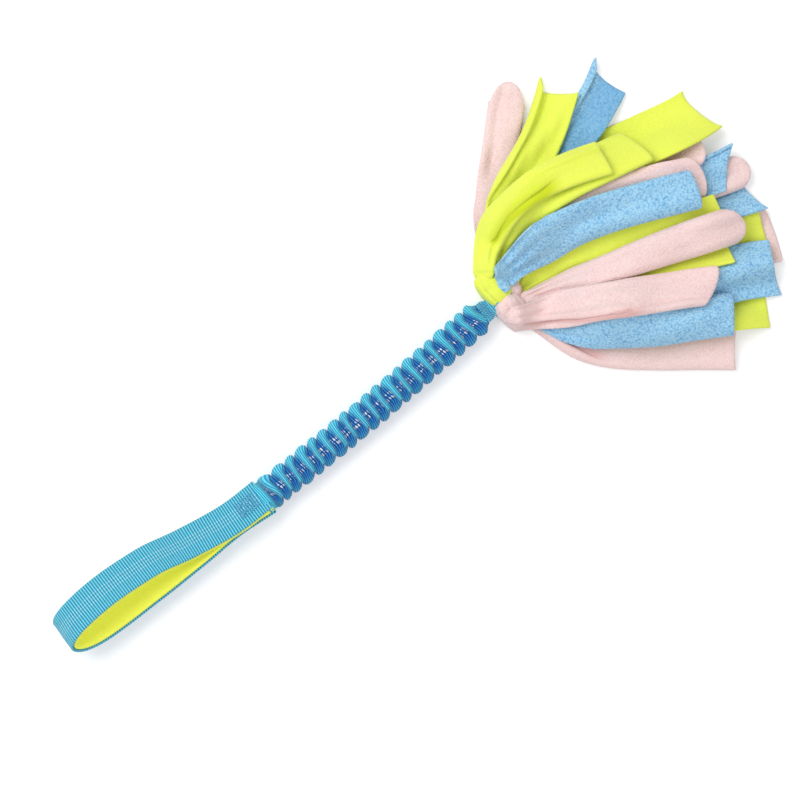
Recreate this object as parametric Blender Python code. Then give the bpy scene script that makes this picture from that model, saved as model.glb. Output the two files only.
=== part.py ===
# Dog tug toy: a webbing hand loop with a soft lining, a bungee of gathered webbing over an elastic cord,
# and a tassel of fleece strips folded in half through the webbing's end loop. Metres, +Z up.
# The toy lies on the floor z = 0 with its bungee along +X. The origin is the floor point under the
# first gather, where the hand loop meets the bungee.
import math

import bmesh
import bpy
import numpy as np
from mathutils import Matrix, Vector

MM = 0.001
CLEARANCE = 0.3 * MM            # between pieces that touch
FLOOR_CUT = 0.5 * MM            # how deep the gathers are flattened where they rest

# Hand loop
WEBBING_WIDTH = 25.0 * MM
WEBBING_THICKNESS = 1.8 * MM    # tubular webbing pressed flat
LINING_WIDTH = 24.0 * MM
LINING_THICKNESS = 2.0 * MM
LOOP_REACH = 153.0 * MM         # first gather to the far end of the hand loop
LOOP_OPENING = 27.0 * MM        # between the strands, measured square to them
LOOP_LEAN = math.radians(35.0)  # how far the lying loop leans over
LOOP_YAW = 2.2 * MM             # how far the lying strand is off the bungee's line
LOOP_POINTS = 40
NECK_STITCH_LENGTH = 13.0 * MM
NECK_STITCH_WIDTH = 11.0 * MM
NECK_STITCH_START = 5.0 * MM    # from the strands' sewn end
STITCH_LINE = 2.0 * MM          # width of a row of stitches
STITCH_HEIGHT = 0.7 * MM

# Bungee
GATHERS = 20
BUNGEE_LENGTH = 172.5 * MM      # relaxed, over all gathers
RIDGE_RADIUS = 10.5 * MM
VALLEY_RADIUS = 8.2 * MM
RIDGE_SHARE = 0.44              # share of a gather's pitch that its rounded ridge takes
PITCH_SPREAD = 0.16             # how unequal neighbouring gathers are
SLANT_AT_NECK = math.radians(24.0)
SLANT_AT_TAB = math.radians(13.0)
SLANT_RUN = 20.0 * MM           # run over which the gathers take up and lose their slant
CORE_RADIUS = 4.4 * MM
CORE_RINGS = 13
BUNGEE_SIDES = 14
BUNGEE_BOW = 1.6 * MM           # sideways bow of the relaxed bungee
MOUTH_AT_NECK = (11.3 * MM, 6.3 * MM)   # half width and half height of the flattened ends
MOUTH_AT_TAB = (7.2 * MM, 6.3 * MM)

# Sewn tab and eye
TAB_LENGTH = 7.5 * MM
TAB_WIDTH = 13.4 * MM
TAB_THICKNESS = 4.2 * MM
EYE_RADIUS = 6.3 * MM           # inside the eye
EYE_WALL = 1.6 * MM
EYE_WIDTH = 8.0 * MM
EYE_SIDES = 20
TAB_STITCH_MARGIN = 1.2 * MM

# Folded middles of the strips
BIGHT_RADIUS = 8.4 * MM
BIGHT_LENGTH = 13.0 * MM
BUNDLE_SIDES = 16
CROSSING_ANGLES = (54.0, 78.0)  # degrees above the floor, of the blue fold that crosses the bundle
CROSSING_REACH = 12.0 * MM

# Fleece strips
TASSEL_REACH = 173.0 * MM       # from the eye to the tip of the longest tail
STRIP_WIDTH = 40.0 * MM
STRIP_THICKNESS = 2.2 * MM
CURL_SHARE = 0.36               # share of the width that rolls at each edge
ROLL_FLATNESS = 0.46            # height of a pressed roll over that of a round one
GATHER_RUN = 62.0 * MM          # run over which a tail opens from its crumpled root
ROOT_WIDTH = 7.0 * MM
ROOT_THICKNESS = 1.1 * MM       # crushed in the knot
ROOT_FAN = 84.0                 # bearing in degrees of the outermost roots
ROOT_MARGIN = 1.6 * MM          # between the roots and the bights
ROOT_SQUARENESS = 0.55          # power that squares the outline on which the roots lie
TAIL_ROWS = 11
ROW_GRADING = 1.5               # power that draws the rows together at the root
CURL_STEPS = 3                  # facets in a rolled edge
FLAT_STEPS = 2                  # facets between the rolled edges
DRAPE_NODES = 7                 # places across a tail where it follows the pile

# Pile of tails
PILE_CELL = 0.5 * MM
PILE_GAP = 0.35 * MM
DRAPE_CELLS = 2                 # pile cells in one cell of the draped surface
DRAPE_SLOPE = 0.9               # steepest fall of a tail off the pile under it
SETTLE_ROUNDS = 36

# One row for each tail, from the bottom of the pile to its top. bearing, end and root_bearing are degrees
# from +X towards +Y: where the tip lies as seen from the eye, and how the tip and the root point. reach
# is the share of TASSEL_REACH from the eye to the tip. left and right are how far the edges roll, in
# degrees, over the strip or, where negative, under it, and cut is how far the tip is cut from square.
# root_at and root_width are given only where a root isn't on the common oval, and root_bearing also where
# a tail leaves the oval at a slant.
PINK = "fleece_pink"
YELLOW = "fleece_yellow"
BLUE = "fleece_blue"
TAILS = [
    dict(name="tail_pink_right", colour=PINK, bearing=-51.4, reach=0.844, end=-42, left=60, right=-150,
         cut=0, root_bearing=-68),
    dict(name="tail_yellow_right", colour=YELLOW, bearing=-40.5, reach=0.94, end=-39, left=20, right=40,
         cut=6),
    dict(name="tail_pink_low", colour=PINK, bearing=-27, reach=1.0, end=-32, left=70, right=80, cut=10),
    dict(name="tail_yellow_low", colour=YELLOW, bearing=-26, reach=0.96, end=-29, left=25, right=25, cut=4),
    dict(name="tail_blue_wide", colour=BLUE, bearing=-34.5, reach=0.971, end=-36, left=25, right=15, cut=8),
    dict(name="tail_blue_right", colour=BLUE, bearing=-44.5, reach=0.821, end=-37, left=-120, right=-100,
         cut=-2),
    dict(name="tail_yellow_inner", colour=YELLOW, bearing=-23.6, reach=0.812, end=-27, left=30, right=30,
         cut=10),
    dict(name="tail_blue_middle", colour=BLUE, bearing=-14.6, reach=0.945, end=-21, left=20, right=30,
         cut=18),
    dict(name="tail_pink_tip", colour=PINK, bearing=-12, reach=0.994, end=-14, left=-160, right=-160,
         cut=0),
    dict(name="tail_blue_tip", colour=BLUE, bearing=-7, reach=0.931, end=-8, left=110, right=100, cut=-10),
    dict(name="tail_pink_under", colour=PINK, bearing=-1.5, reach=0.896, end=0, left=-140, right=-140,
         cut=0),
    dict(name="tail_yellow_wide", colour=YELLOW, bearing=3.5, reach=0.971, end=-6, left=20, right=25,
         cut=25),
    dict(name="tail_pink_upper", colour=PINK, bearing=-9.5, reach=0.832, end=-23, left=-95, right=-95,
         cut=0),
    dict(name="tail_yellow_middle", colour=YELLOW, bearing=-19, reach=0.832, end=-22, left=-50, right=-60,
         cut=6),
    dict(name="tail_pink_middle", colour=PINK, bearing=-22.5, reach=0.896, end=-20, left=-170, right=-170,
         cut=8),
    dict(name="tail_pink_top", colour=PINK, bearing=-37, reach=0.769, end=-33, left=-110, right=-180,
         cut=10, root_at=(-3.0, -14.8), root_bearing=-30, root_width=14.5),
    dict(name="tail_pink_left", colour=PINK, bearing=48, reach=0.74, end=44, left=-180, right=-170,
         cut=0, root_bearing=46),
    dict(name="tail_blue_left", colour=BLUE, bearing=24.5, reach=0.855, end=29, left=190, right=15,
         cut=-14, root_bearing=48),
    dict(name="tail_yellow_left", colour=YELLOW, bearing=35.5, reach=0.734, end=36, left=180, right=40,
         cut=-6, root_bearing=44),
    dict(name="tail_yellow_back", colour=YELLOW, bearing=8, reach=0.723, end=-12, left=-170, right=-110,
         cut=22, root_at=(9.0, 15.0), root_bearing=50, root_width=9.5),
    dict(name="tail_yellow_top", colour=YELLOW, bearing=13.5, reach=0.607, end=-24, left=-180, right=-170,
         cut=10, root_at=(1.5, 18.6), root_bearing=50, root_width=13.0),
    dict(name="tail_blue_top", colour=BLUE, bearing=-11, reach=0.786, end=-25, left=-150, right=-140,
         cut=4, root_at=(9.3, 9.0), root_bearing=8, root_width=16.0),
]

BUNGEE_HEIGHT = RIDGE_RADIUS - FLOOR_CUT
BORE_RADIUS = CORE_RADIUS + CLEARANCE


def gather_pitches():
    weights = [1.0 + PITCH_SPREAD * math.sin(2.4 * k + 0.7) for k in range(GATHERS)]
    return [BUNGEE_LENGTH * weight / sum(weights) for weight in weights]


PITCHES = gather_pitches()
SLEEVE_START = -0.5 * PITCHES[0]
SLEEVE_END = SLEEVE_START + BUNGEE_LENGTH
TAB_START = SLEEVE_END + CLEARANCE
EYE_OUTER = EYE_RADIUS + EYE_WALL
EYE_CENTRE = Vector((TAB_START + TAB_LENGTH + EYE_OUTER, 0.0, BUNGEE_HEIGHT))
BIGHT_START = 0.5 * EYE_WIDTH + CLEARANCE
ROOT_OVAL = (BIGHT_RADIUS + ROOT_MARGIN, BIGHT_START + BIGHT_LENGTH + ROOT_MARGIN)


def clear_scene():
    for item in list(bpy.data.objects):
        bpy.data.objects.remove(item, do_unlink=True)


def make_material(name, colour, roughness):
    material = bpy.data.materials.new(name)
    material.use_nodes = True
    shader = material.node_tree.nodes["Principled BSDF"]
    shader.inputs["Base Color"].default_value = (*colour, 1.0)
    shader.inputs["Roughness"].default_value = roughness
    shader.inputs["Metallic"].default_value = 0.0
    return material


def add_object(name, bm, material):
    bmesh.ops.recalc_face_normals(bm, faces=bm.faces)
    mesh = bpy.data.meshes.new(name)
    bm.to_mesh(mesh)
    bm.free()
    mesh.materials.append(material)
    mesh.shade_smooth()
    mesh.set_sharp_from_angle(angle=math.radians(50.0))
    item = bpy.data.objects.new(name, mesh)
    bpy.context.scene.collection.objects.link(item)
    return item


# Origins on the axis that the pieces turn about or slide along
def put_origin(items, pivot):
    for item in items:
        item.data.transform(Matrix.Translation(-pivot))
        item.location = pivot


def smooth_step(value):
    value = min(max(value, 0.0), 1.0)
    return value * value * (3.0 - 2.0 * value)


# A smooth curve through a few stations
def catmull_rom(stations, count):
    stations = np.array(stations, dtype=float)
    padded = np.vstack([2 * stations[0] - stations[1], stations, 2 * stations[-1] - stations[-2]])
    spans = len(stations) - 1
    points = []
    for place in np.linspace(0.0, spans, count):
        span = min(int(place), spans - 1)
        t = place - span
        a, b, c, d = padded[span:span + 4]
        points.append(0.5 * (2 * b + (c - a) * t + (2 * a - 5 * b + 4 * c - d) * t ** 2
                             + (3 * b - a - 3 * c + d) * t ** 3))
    return np.array(points)


# A skin through closed rings of points
def loft(bm, rings):
    loops = [[bm.verts.new(point) for point in ring] for ring in rings]
    for first, second in zip(loops, loops[1:]):
        bridge(bm, first, second)
    return loops


def bridge(bm, first, second):
    count = len(first)
    for i in range(count):
        j = (i + 1) % count
        bm.faces.new((first[i], first[j], second[j], second[i]))


# Hand loop: a band swept round an outline that leans over, its two strand ends meeting at the neck
def loop_stations():
    half_stack = 0.5 * WEBBING_THICKNESS + 1.5 * CLEARANCE + LINING_THICKNESS
    lean = np.array([math.sin(LOOP_LEAN), math.cos(LOOP_LEAN)])
    edge_drop = 0.5 * WEBBING_WIDTH * math.sin(LOOP_LEAN) + 0.5 * WEBBING_THICKNESS * math.cos(LOOP_LEAN)
    lying = np.array([LOOP_YAW, edge_drop])
    neck = np.array([0.0, edge_drop + half_stack * lean[1]])
    start = SLEEVE_START - CLEARANCE
    run = LOOP_REACH + start
    # share of the run from the neck, rise over the lying strand as a share of the opening, sideways in mm
    bends = [(0.17, 0.25, -3.0), (0.37, 0.42, 0.2), (0.54, 0.78, 1.2), (0.76, 1.0, 1.3), (0.93, 0.95, 0.9),
             (1.0, 0.62, 1.8), (0.965, 0.25, 1.7), (0.85, 0.05, 1.0), (0.62, 0.0, 0.0), (0.38, 0.0, -1.0),
             (0.17, 0.0, -1.2)]
    stations = [(start, *(neck + half_stack * lean))]
    for share, rise, shift in bends:
        place = lying + rise * LOOP_OPENING * lean
        stations.append((start - share * run, place[0] + shift * MM, place[1]))
    stations.append((start, *(neck - half_stack * lean)))
    return stations


def band_frames(path):
    crosswise = Vector((0.0, math.cos(LOOP_LEAN), -math.sin(LOOP_LEAN)))
    frames = []
    for i, point in enumerate(path):
        ahead = Vector(path[min(i + 1, len(path) - 1)]) - Vector(path[max(i - 1, 0)])
        ahead.normalize()
        if i in (0, len(path) - 1):
            ahead = Vector((1.0 if i else -1.0, 0.0, 0.0))
        outward = crosswise.cross(ahead).normalized()
        frames.append((Vector(point), outward, ahead.cross(outward).normalized()))
    return frames


def build_band(name, frames, width, inner, outer, material):
    bm = bmesh.new()
    rings = []
    for centre, outward, side in frames:
        edge = side * (0.5 * width)
        rings.append([centre + outward * inner - edge, centre + outward * inner + edge,
                      centre + outward * outer + edge, centre + outward * outer - edge])
    loops = loft(bm, rings)
    bm.faces.new(loops[0])
    bm.faces.new(loops[-1])
    for vert in bm.verts:
        vert.co.z = max(vert.co.z, 0.0)
    return add_object(name, bm, material)


# Box with a cross, as sewn: a poked rectangle whose four triangles are inset and opened
def stitched_box(length, width, line):
    bm = bmesh.new()
    bmesh.ops.create_grid(bm, x_segments=1, y_segments=1, size=0.5)
    for vert in bm.verts:
        vert.co.x *= length
        vert.co.y *= width
    bmesh.ops.poke(bm, faces=bm.faces[:])
    holes = bmesh.ops.inset_individual(bm, faces=bm.faces[:], thickness=0.5 * line, use_even_offset=True)
    rims = set(holes["faces"])
    bmesh.ops.delete(bm, geom=[face for face in bm.faces if face not in rims], context="FACES_ONLY")
    return bm


def build_neck_stitching(frames, material):
    bm = stitched_box(NECK_STITCH_LENGTH, NECK_STITCH_WIDTH, STITCH_LINE)
    bmesh.ops.solidify(bm, geom=bm.faces[:], thickness=STITCH_HEIGHT)
    lowest = min(vert.co.z for vert in bm.verts)
    gaps = [(b[0] - a[0]).length for a, b in zip(frames, frames[1:])]
    marks = np.concatenate([[0.0], np.cumsum(gaps)])
    for vert in bm.verts:
        along = NECK_STITCH_START + 0.5 * NECK_STITCH_LENGTH + vert.co.x
        span = int(np.searchsorted(marks, along)) - 1
        share = (along - marks[span]) / gaps[span]
        centre, outward, side = (frames[span][k].lerp(frames[span + 1][k], share) for k in range(3))
        rise = 0.5 * WEBBING_THICKNESS + CLEARANCE + vert.co.z - lowest
        vert.co = centre + outward * rise + side * vert.co.y
    return add_object("neck_stitching", bm, material)


# Bungee: gathers stacked along the cord, each a rounded ridge between two valleys
def bungee_axis(x):
    share = (x - SLEEVE_START) / BUNGEE_LENGTH
    return -BUNGEE_BOW * math.sin(math.pi * min(max(share, 0.0), 1.0))


def gather_slant(x):
    share = (x - SLEEVE_START) / BUNGEE_LENGTH
    slant = SLANT_AT_NECK + (SLANT_AT_TAB - SLANT_AT_NECK) * share
    near_end = min(x - SLEEVE_START, SLEEVE_END - x) / SLANT_RUN
    return math.tan(slant) * smooth_step(near_end)


def bungee_ring(x, half_width, half_height, lean=0.0, slant=0.0):
    ring = []
    for i in range(BUNGEE_SIDES):
        angle = math.tau * (i + 0.5) / BUNGEE_SIDES - 0.5 * math.pi
        across = half_width * math.cos(angle + lean)
        up = half_height * math.sin(angle + lean)
        y = across * math.cos(lean) + up * math.sin(lean)
        z = up * math.cos(lean) - across * math.sin(lean)
        ring.append(Vector((x + slant * y, bungee_axis(x) + y, max(BUNGEE_HEIGHT + z, 0.0))))
    return ring


def gather_rings():
    rings = [bungee_ring(SLEEVE_START, *MOUTH_AT_NECK, lean=LOOP_LEAN)]
    left = SLEEVE_START
    for k, pitch in enumerate(PITCHES):
        middle = left + 0.5 * pitch
        radius = RIDGE_RADIUS * (1.0 - 0.02 * (1.0 - math.cos(1.9 * k)))
        for side in (-0.5, 0.5):
            x = middle + side * RIDGE_SHARE * pitch
            rings.append(bungee_ring(x, radius, radius, slant=gather_slant(x)))
        left += pitch
        if k < GATHERS - 1:
            rings.append(bungee_ring(left, VALLEY_RADIUS, VALLEY_RADIUS, slant=gather_slant(left)))
    rings.append(bungee_ring(SLEEVE_END, *MOUTH_AT_TAB))
    return rings


def cord_rings(radius, inset):
    places = np.linspace(SLEEVE_START + inset, SLEEVE_END - inset, CORE_RINGS)
    return [bungee_ring(x, radius, radius) for x in places]


def build_sleeve(material):
    bm = bmesh.new()
    outer = loft(bm, gather_rings())
    bore = loft(bm, cord_rings(BORE_RADIUS, 0.0))
    bridge(bm, outer[0], bore[0])
    bridge(bm, outer[-1], bore[-1])
    return add_object("bungee_sleeve", bm, material)


def build_core(material):
    bm = bmesh.new()
    loops = loft(bm, cord_rings(CORE_RADIUS, CLEARANCE))
    bm.faces.new(loops[0])
    bm.faces.new(loops[-1])
    return add_object("bungee_core", bm, material)


# End loop: an eye of webbing with its sewn tab drawn out of its back
def build_end_loop(material):
    bm = bmesh.new()
    back = math.asin(0.5 * TAB_THICKNESS / EYE_OUTER)
    half = 0.5 * EYE_WIDTH
    rings = []
    for i in range(EYE_SIDES):
        angle = (back - math.pi) + (math.tau - 2 * back) * i / (EYE_SIDES - 1)
        out = Vector((math.cos(angle), 0.0, math.sin(angle)))
        rings.append([EYE_CENTRE + out * radius + Vector((0.0, y, 0.0))
                      for radius, y in ((EYE_OUTER, -half), (EYE_OUTER, half), (EYE_RADIUS, half),
                                        (EYE_RADIUS, -half))])
    loops = loft(bm, rings)
    bridge(bm, loops[-1], loops[0])
    bmesh.ops.recalc_face_normals(bm, faces=bm.faces)
    root = min(bm.faces, key=lambda face: face.calc_center_median().x)
    neck_x = TAB_START + 0.6 * TAB_LENGTH
    for x in (neck_x, TAB_START):
        grown = bmesh.ops.extrude_face_region(bm, geom=[root])
        bmesh.ops.delete(bm, geom=[root], context="FACES_ONLY")
        verts = [item for item in grown["geom"] if isinstance(item, bmesh.types.BMVert)]
        root = next(item for item in grown["geom"] if isinstance(item, bmesh.types.BMFace))
        for vert in verts:
            vert.co.x = x
            vert.co.y = math.copysign(0.5 * TAB_WIDTH, vert.co.y)
    return add_object("end_loop", bm, material)


def build_tab_stitching(material):
    length = 0.6 * TAB_LENGTH - TAB_STITCH_MARGIN
    width = TAB_WIDTH - 2 * TAB_STITCH_MARGIN
    bm = bmesh.new()
    bmesh.ops.create_grid(bm, x_segments=3, y_segments=6, size=0.5)
    for vert in bm.verts:
        vert.co.x *= length
        vert.co.y *= width
    holes = bmesh.ops.inset_individual(bm, faces=bm.faces[:], thickness=0.25 * MM)
    rims = set(holes["faces"])
    bmesh.ops.delete(bm, geom=[face for face in bm.faces if face not in rims], context="FACES_ONLY")
    bmesh.ops.solidify(bm, geom=bm.faces[:], thickness=STITCH_HEIGHT)
    lowest = min(vert.co.z for vert in bm.verts)
    centre = Vector((TAB_START + 0.5 * TAB_STITCH_MARGIN + 0.5 * length, 0.0,
                     BUNGEE_HEIGHT + 0.5 * TAB_THICKNESS + CLEARANCE - lowest))
    bmesh.ops.translate(bm, verts=bm.verts[:], vec=centre)
    return add_object("tab_stitching", bm, material)


# Middles of the strips: a rod crushed inside the eye, swelling on both sides of it
def turned_ring(y, radius):
    turns = [math.tau * i / BUNDLE_SIDES for i in range(BUNDLE_SIDES)]
    return [EYE_CENTRE + Vector((radius * math.cos(turn), y, radius * math.sin(turn))) for turn in turns]


def build_turned(name, profile, material):
    bm = bmesh.new()
    loops = loft(bm, [turned_ring(y, radius) for y, radius in profile])
    bm.faces.new(loops[0])
    bm.faces.new(loops[-1])
    return add_object(name, bm, material)


def build_bundle(materials):
    held = EYE_RADIUS - CLEARANCE
    half = 0.5 * EYE_WIDTH
    pieces = [build_turned("strip_bundle", [(-half, held), (0.0, held), (half, held)], materials[PINK])]
    for name, side, colour in (("yellow_bight", 1.0, YELLOW), ("pink_bight", -1.0, PINK)):
        profile = []
        for share, swell in ((0.0, 0.78), (0.16, 0.94), (0.45, 1.0), (0.75, 0.88), (1.0, 0.5)):
            profile.append((side * (BIGHT_START + share * BIGHT_LENGTH), swell * BIGHT_RADIUS))
        pieces.append(build_turned(name, profile, materials[colour]))
    return pieces


def build_crossing(material):
    bm = bmesh.new()
    inner = BIGHT_RADIUS + CLEARANCE
    outer = inner + ROOT_THICKNESS
    rings = []
    for angle in np.linspace(*CROSSING_ANGLES, 4):
        out = Vector((math.cos(math.radians(angle)), 0.0, math.sin(math.radians(angle))))
        rings.append([EYE_CENTRE + out * radius + Vector((0.0, y, 0.0))
                      for radius, y in ((inner, 0.0), (outer, 0.0), (outer, CROSSING_REACH),
                                        (inner, CROSSING_REACH))])
    loops = loft(bm, rings)
    bm.faces.new(loops[0])
    bm.faces.new(loops[-1])
    return add_object("blue_bight", bm, material)


# Both triangulations of every facet of a grid of points, sampled closely
def facet_samples(grid, steps):
    corners = [grid[:-1, :-1], grid[1:, :-1], grid[1:, 1:], grid[:-1, 1:]]
    weights = [(i / steps, j / steps, (steps - i - j) / steps)
               for i in range(steps + 1) for j in range(steps + 1 - i)]
    weights = np.array(weights)
    samples = []
    for skip in range(4):
        trio = [corners[k].reshape(-1, 1, grid.shape[2]) for k in range(4) if k != skip]
        blend = sum(weights[None, :, k, None] * trio[k] for k in range(3))
        samples.append(blend.reshape(-1, grid.shape[2]))
    return np.concatenate(samples)


# The top of what already lies on the floor, as heights on a fine square grid
class Pile:
    def __init__(self, low, high):
        self.low = np.array(low)
        cells = ((np.array(high) - self.low) / PILE_CELL).astype(int) // DRAPE_CELLS + 1
        self.tails = np.full(tuple(cells * DRAPE_CELLS), -PILE_GAP)
        self.knot = self.tails.copy()

    def cell_of(self, points, size):
        place = ((points[:, :2] - self.low) / size).astype(int)
        return place[:, 0], place[:, 1]

    def add(self, samples, layer):
        np.maximum.at(layer, self.cell_of(samples, PILE_CELL), samples[:, 2])

    def add_knot(self, item):
        mesh = item.data
        mesh.calc_loop_triangles()
        corners = np.array([[mesh.vertices[k].co for k in triangle.vertices]
                            for triangle in mesh.loop_triangles])
        steps = 24
        for i in range(steps + 1):
            for j in range(steps + 1 - i):
                a, b = i / steps, j / steps
                self.add(a * corners[:, 0] + b * corners[:, 1] + (1 - a - b) * corners[:, 2], self.knot)

    # Highest neighbour of each cell, so that nothing between cell centres is missed
    def support(self, layer):
        padded = np.pad(layer, 1, mode="edge")
        rows, columns = layer.shape
        shifted = [padded[i:i + rows, j:j + columns] for i in range(3) for j in range(3)]
        return np.max(shifted, axis=0) + PILE_GAP

    # The tails' top with every step eased to the steepest fall that fleece takes
    def draped(self):
        rows, columns = (count // DRAPE_CELLS for count in self.tails.shape)
        blocks = self.support(self.tails).reshape(rows, DRAPE_CELLS, columns, DRAPE_CELLS)
        surface = blocks.max(axis=(1, 3))
        size = PILE_CELL * DRAPE_CELLS
        steps = int(surface.max() / (DRAPE_SLOPE * size)) + 1
        for _ in range(steps):
            padded = np.pad(surface, 1, mode="constant", constant_values=0.0)
            for i, j in ((0, 1), (2, 1), (1, 0), (1, 2), (0, 0), (0, 2), (2, 0), (2, 2)):
                fall = DRAPE_SLOPE * size * math.hypot(i - 1, j - 1)
                surface = np.maximum(surface, padded[i:i + rows, j:j + columns] - fall)
        return surface


def tail_root(tail):
    if "root_at" in tail:
        return np.array(tail["root_at"]) * MM, math.radians(tail["root_bearing"])
    bearings = sorted(other["bearing"] for other in TAILS if "root_at" not in other)
    around = math.radians(ROOT_FAN * (2.0 * bearings.index(tail["bearing"]) / (len(bearings) - 1) - 1.0))
    ahead = math.cos(around) ** ROOT_SQUARENESS
    aside = math.copysign(abs(math.sin(around)) ** ROOT_SQUARENESS, around)
    bearing = math.radians(tail["root_bearing"]) if "root_bearing" in tail else around
    return np.array([ROOT_OVAL[0] * ahead, ROOT_OVAL[1] * aside]), bearing


# Plan of a tail's middle line: a cubic curve from its root to its tip, its steps shorter at the root
def tail_route(tail, count):
    eye = np.array([EYE_CENTRE.x, EYE_CENTRE.y])
    root, bearing = tail_root(tail)
    aim = math.radians(tail["bearing"])
    tip = tail["reach"] * TASSEL_REACH * np.array([math.cos(aim), math.sin(aim)])
    end = math.radians(tail["end"])
    pull = 0.36 * np.linalg.norm(tip - root)
    controls = [root, root + pull * np.array([math.cos(bearing), math.sin(bearing)]),
                tip - pull * np.array([math.cos(end), math.sin(end)]), tip]
    t = np.linspace(0.0, 1.0, 200)[:, None]
    curve = eye + ((1 - t) ** 3 * controls[0] + 3 * (1 - t) ** 2 * t * controls[1]
                   + 3 * (1 - t) * t ** 2 * controls[2] + t ** 3 * controls[3])
    marks = np.concatenate([[0.0], np.cumsum(np.linalg.norm(np.diff(curve, axis=0), axis=1))])
    places = marks[-1] * np.linspace(0.0, 1.0, count) ** ROW_GRADING
    points = np.stack([np.interp(places, marks, curve[:, k]) for k in range(2)], axis=1)
    ahead = np.gradient(points, places, axis=0)
    ahead /= np.linalg.norm(ahead, axis=1)[:, None]
    return points, ahead, places


# Cross-section of a strip whose edges roll over or under it: sideways places and heights, right to left
def curled_section(width, left, right):
    flat = (1.0 - 2.0 * CURL_SHARE) * width
    arc = CURL_SHARE * width
    across = list(np.linspace(-0.5 * flat, 0.5 * flat, FLAT_STEPS + 1))
    height = [0.0] * len(across)
    for side, angle in ((-1.0, right), (1.0, left)):
        radius = arc / max(abs(angle), 0.01)
        turns = [step / CURL_STEPS * arc / radius for step in range(1, CURL_STEPS + 1)]
        outer = [side * (0.5 * flat + radius * math.sin(turn)) for turn in turns]
        rise = [math.copysign(ROLL_FLATNESS * radius * (1.0 - math.cos(turn)), angle) for turn in turns]
        if side < 0.0:
            across = outer[::-1] + across
            height = rise[::-1] + height
        else:
            across += outer
            height += rise
    middle = 0.5 * (max(across) + min(across))
    return np.array(across) - middle, np.array(height) - min(height)


def fullness(place):
    return smooth_step(place / GATHER_RUN)


# Plan position, height over the pile, row, sideways share and thickness of each point of a tail
def tail_layout(tail):
    points, ahead, places = tail_route(tail, TAIL_ROWS)
    root_width = tail.get("root_width", ROOT_WIDTH / MM) * MM
    cut = math.tan(math.radians(tail["cut"]))
    layout = []
    for row, (point, way, place) in enumerate(zip(points, ahead, places)):
        width = root_width + (STRIP_WIDTH - root_width) * fullness(place)
        thickness = ROOT_THICKNESS + (STRIP_THICKNESS - ROOT_THICKNESS) * fullness(place)
        curl = smooth_step((place / GATHER_RUN - 0.15) / 0.85)
        across, height = curled_section(width, curl * math.radians(tail["left"]),
                                        curl * math.radians(tail["right"]))
        aside = np.array([-way[1], way[0]])
        slip = -across * cut * (place / places[-1]) ** 4
        plan = point + across[:, None] * aside + slip[:, None] * way
        share = across / across.max()
        layout.append(np.column_stack([plan, height + 0.5 * thickness, np.full(len(across), float(row)),
                                       share, np.full(len(across), thickness)]))
    return np.array(layout)


def lift_by_nodes(layout, nodes):
    spots = np.linspace(-1.0, 1.0, DRAPE_NODES)
    return np.array([np.interp(layout[row, :, 4], spots, nodes[row]) for row in range(len(layout))])


# Lays a tail over the pile: it follows the draped surface, then is eased up wherever a facet is too low
def settle(tail, pile):
    layout = tail_layout(tail)
    rows, columns = layout.shape[:2]
    spots = np.linspace(-1.0, 1.0, DRAPE_NODES)
    surface = pile.draped()
    size = PILE_CELL * DRAPE_CELLS
    nodes = np.zeros((rows, DRAPE_NODES))
    for row in range(rows):
        line = layout[row][np.argsort(layout[row, :, 4])]
        plan = np.column_stack([np.interp(spots, line[:, 4], line[:, k]) for k in range(2)])
        nodes[row] = surface[pile.cell_of(plan, size)]
    support = np.maximum(pile.support(pile.tails), pile.knot + PILE_GAP)
    bm = bmesh.new()
    bmesh.ops.create_grid(bm, x_segments=columns - 1, y_segments=rows - 1, size=0.5)
    bm.verts.ensure_lookup_table()
    for _ in range(SETTLE_ROUNDS):
        heights = layout[:, :, 2] + lift_by_nodes(layout, nodes)
        for i, vert in enumerate(bm.verts):
            row, column = divmod(i, columns)
            vert.co = (layout[row, column, 0], layout[row, column, 1], heights[row, column])
        bm.normal_update()
        middle = np.array([vert.co for vert in bm.verts]).reshape(rows, columns, 3)
        offset = np.array([vert.normal for vert in bm.verts]).reshape(rows, columns, 3)
        skins = [middle + side * 0.5 * layout[:, :, 5:] * offset for side in (-1.0, 1.0)]
        short = np.zeros_like(nodes)
        for skin in skins:
            samples = facet_samples(np.concatenate([skin, layout[:, :, 3:5]], axis=2), 16)
            need = support[pile.cell_of(samples, PILE_CELL)] - samples[:, 2]
            low = need > 0.0
            line = samples[low, 3]
            spot = (np.clip(samples[low, 4], -1.0, 1.0) + 1.0) * 0.5 * (DRAPE_NODES - 1)
            row = np.minimum(line.astype(int), rows - 2)
            column = np.minimum(spot.astype(int), DRAPE_NODES - 2)
            u, v = line - row, spot - column
            shares = {(0, 0): (1 - u) * (1 - v), (1, 0): u * (1 - v), (0, 1): (1 - u) * v, (1, 1): u * v}
            total = sum(share ** 2 for share in shares.values())
            for (i, j), share in shares.items():
                np.maximum.at(short, (row + i, column + j), need[low] * share / total)
        if short.max() < 0.02 * MM:
            break
        nodes += short
    for skin in skins:
        pile.add(facet_samples(skin, 40), pile.tails)
    print(tail["name"], "rows", rows, "short by", round(short.max() / MM, 3), "mm, top",
          round(max(skin[:, :, 2].max() for skin in skins) / MM, 1), "mm, root",
          round(heights[0].mean() / MM, 1), [round(h.mean() / MM, 1) for h in heights[1:5]])
    return bm, layout[:, :, 5].reshape(-1)


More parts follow.
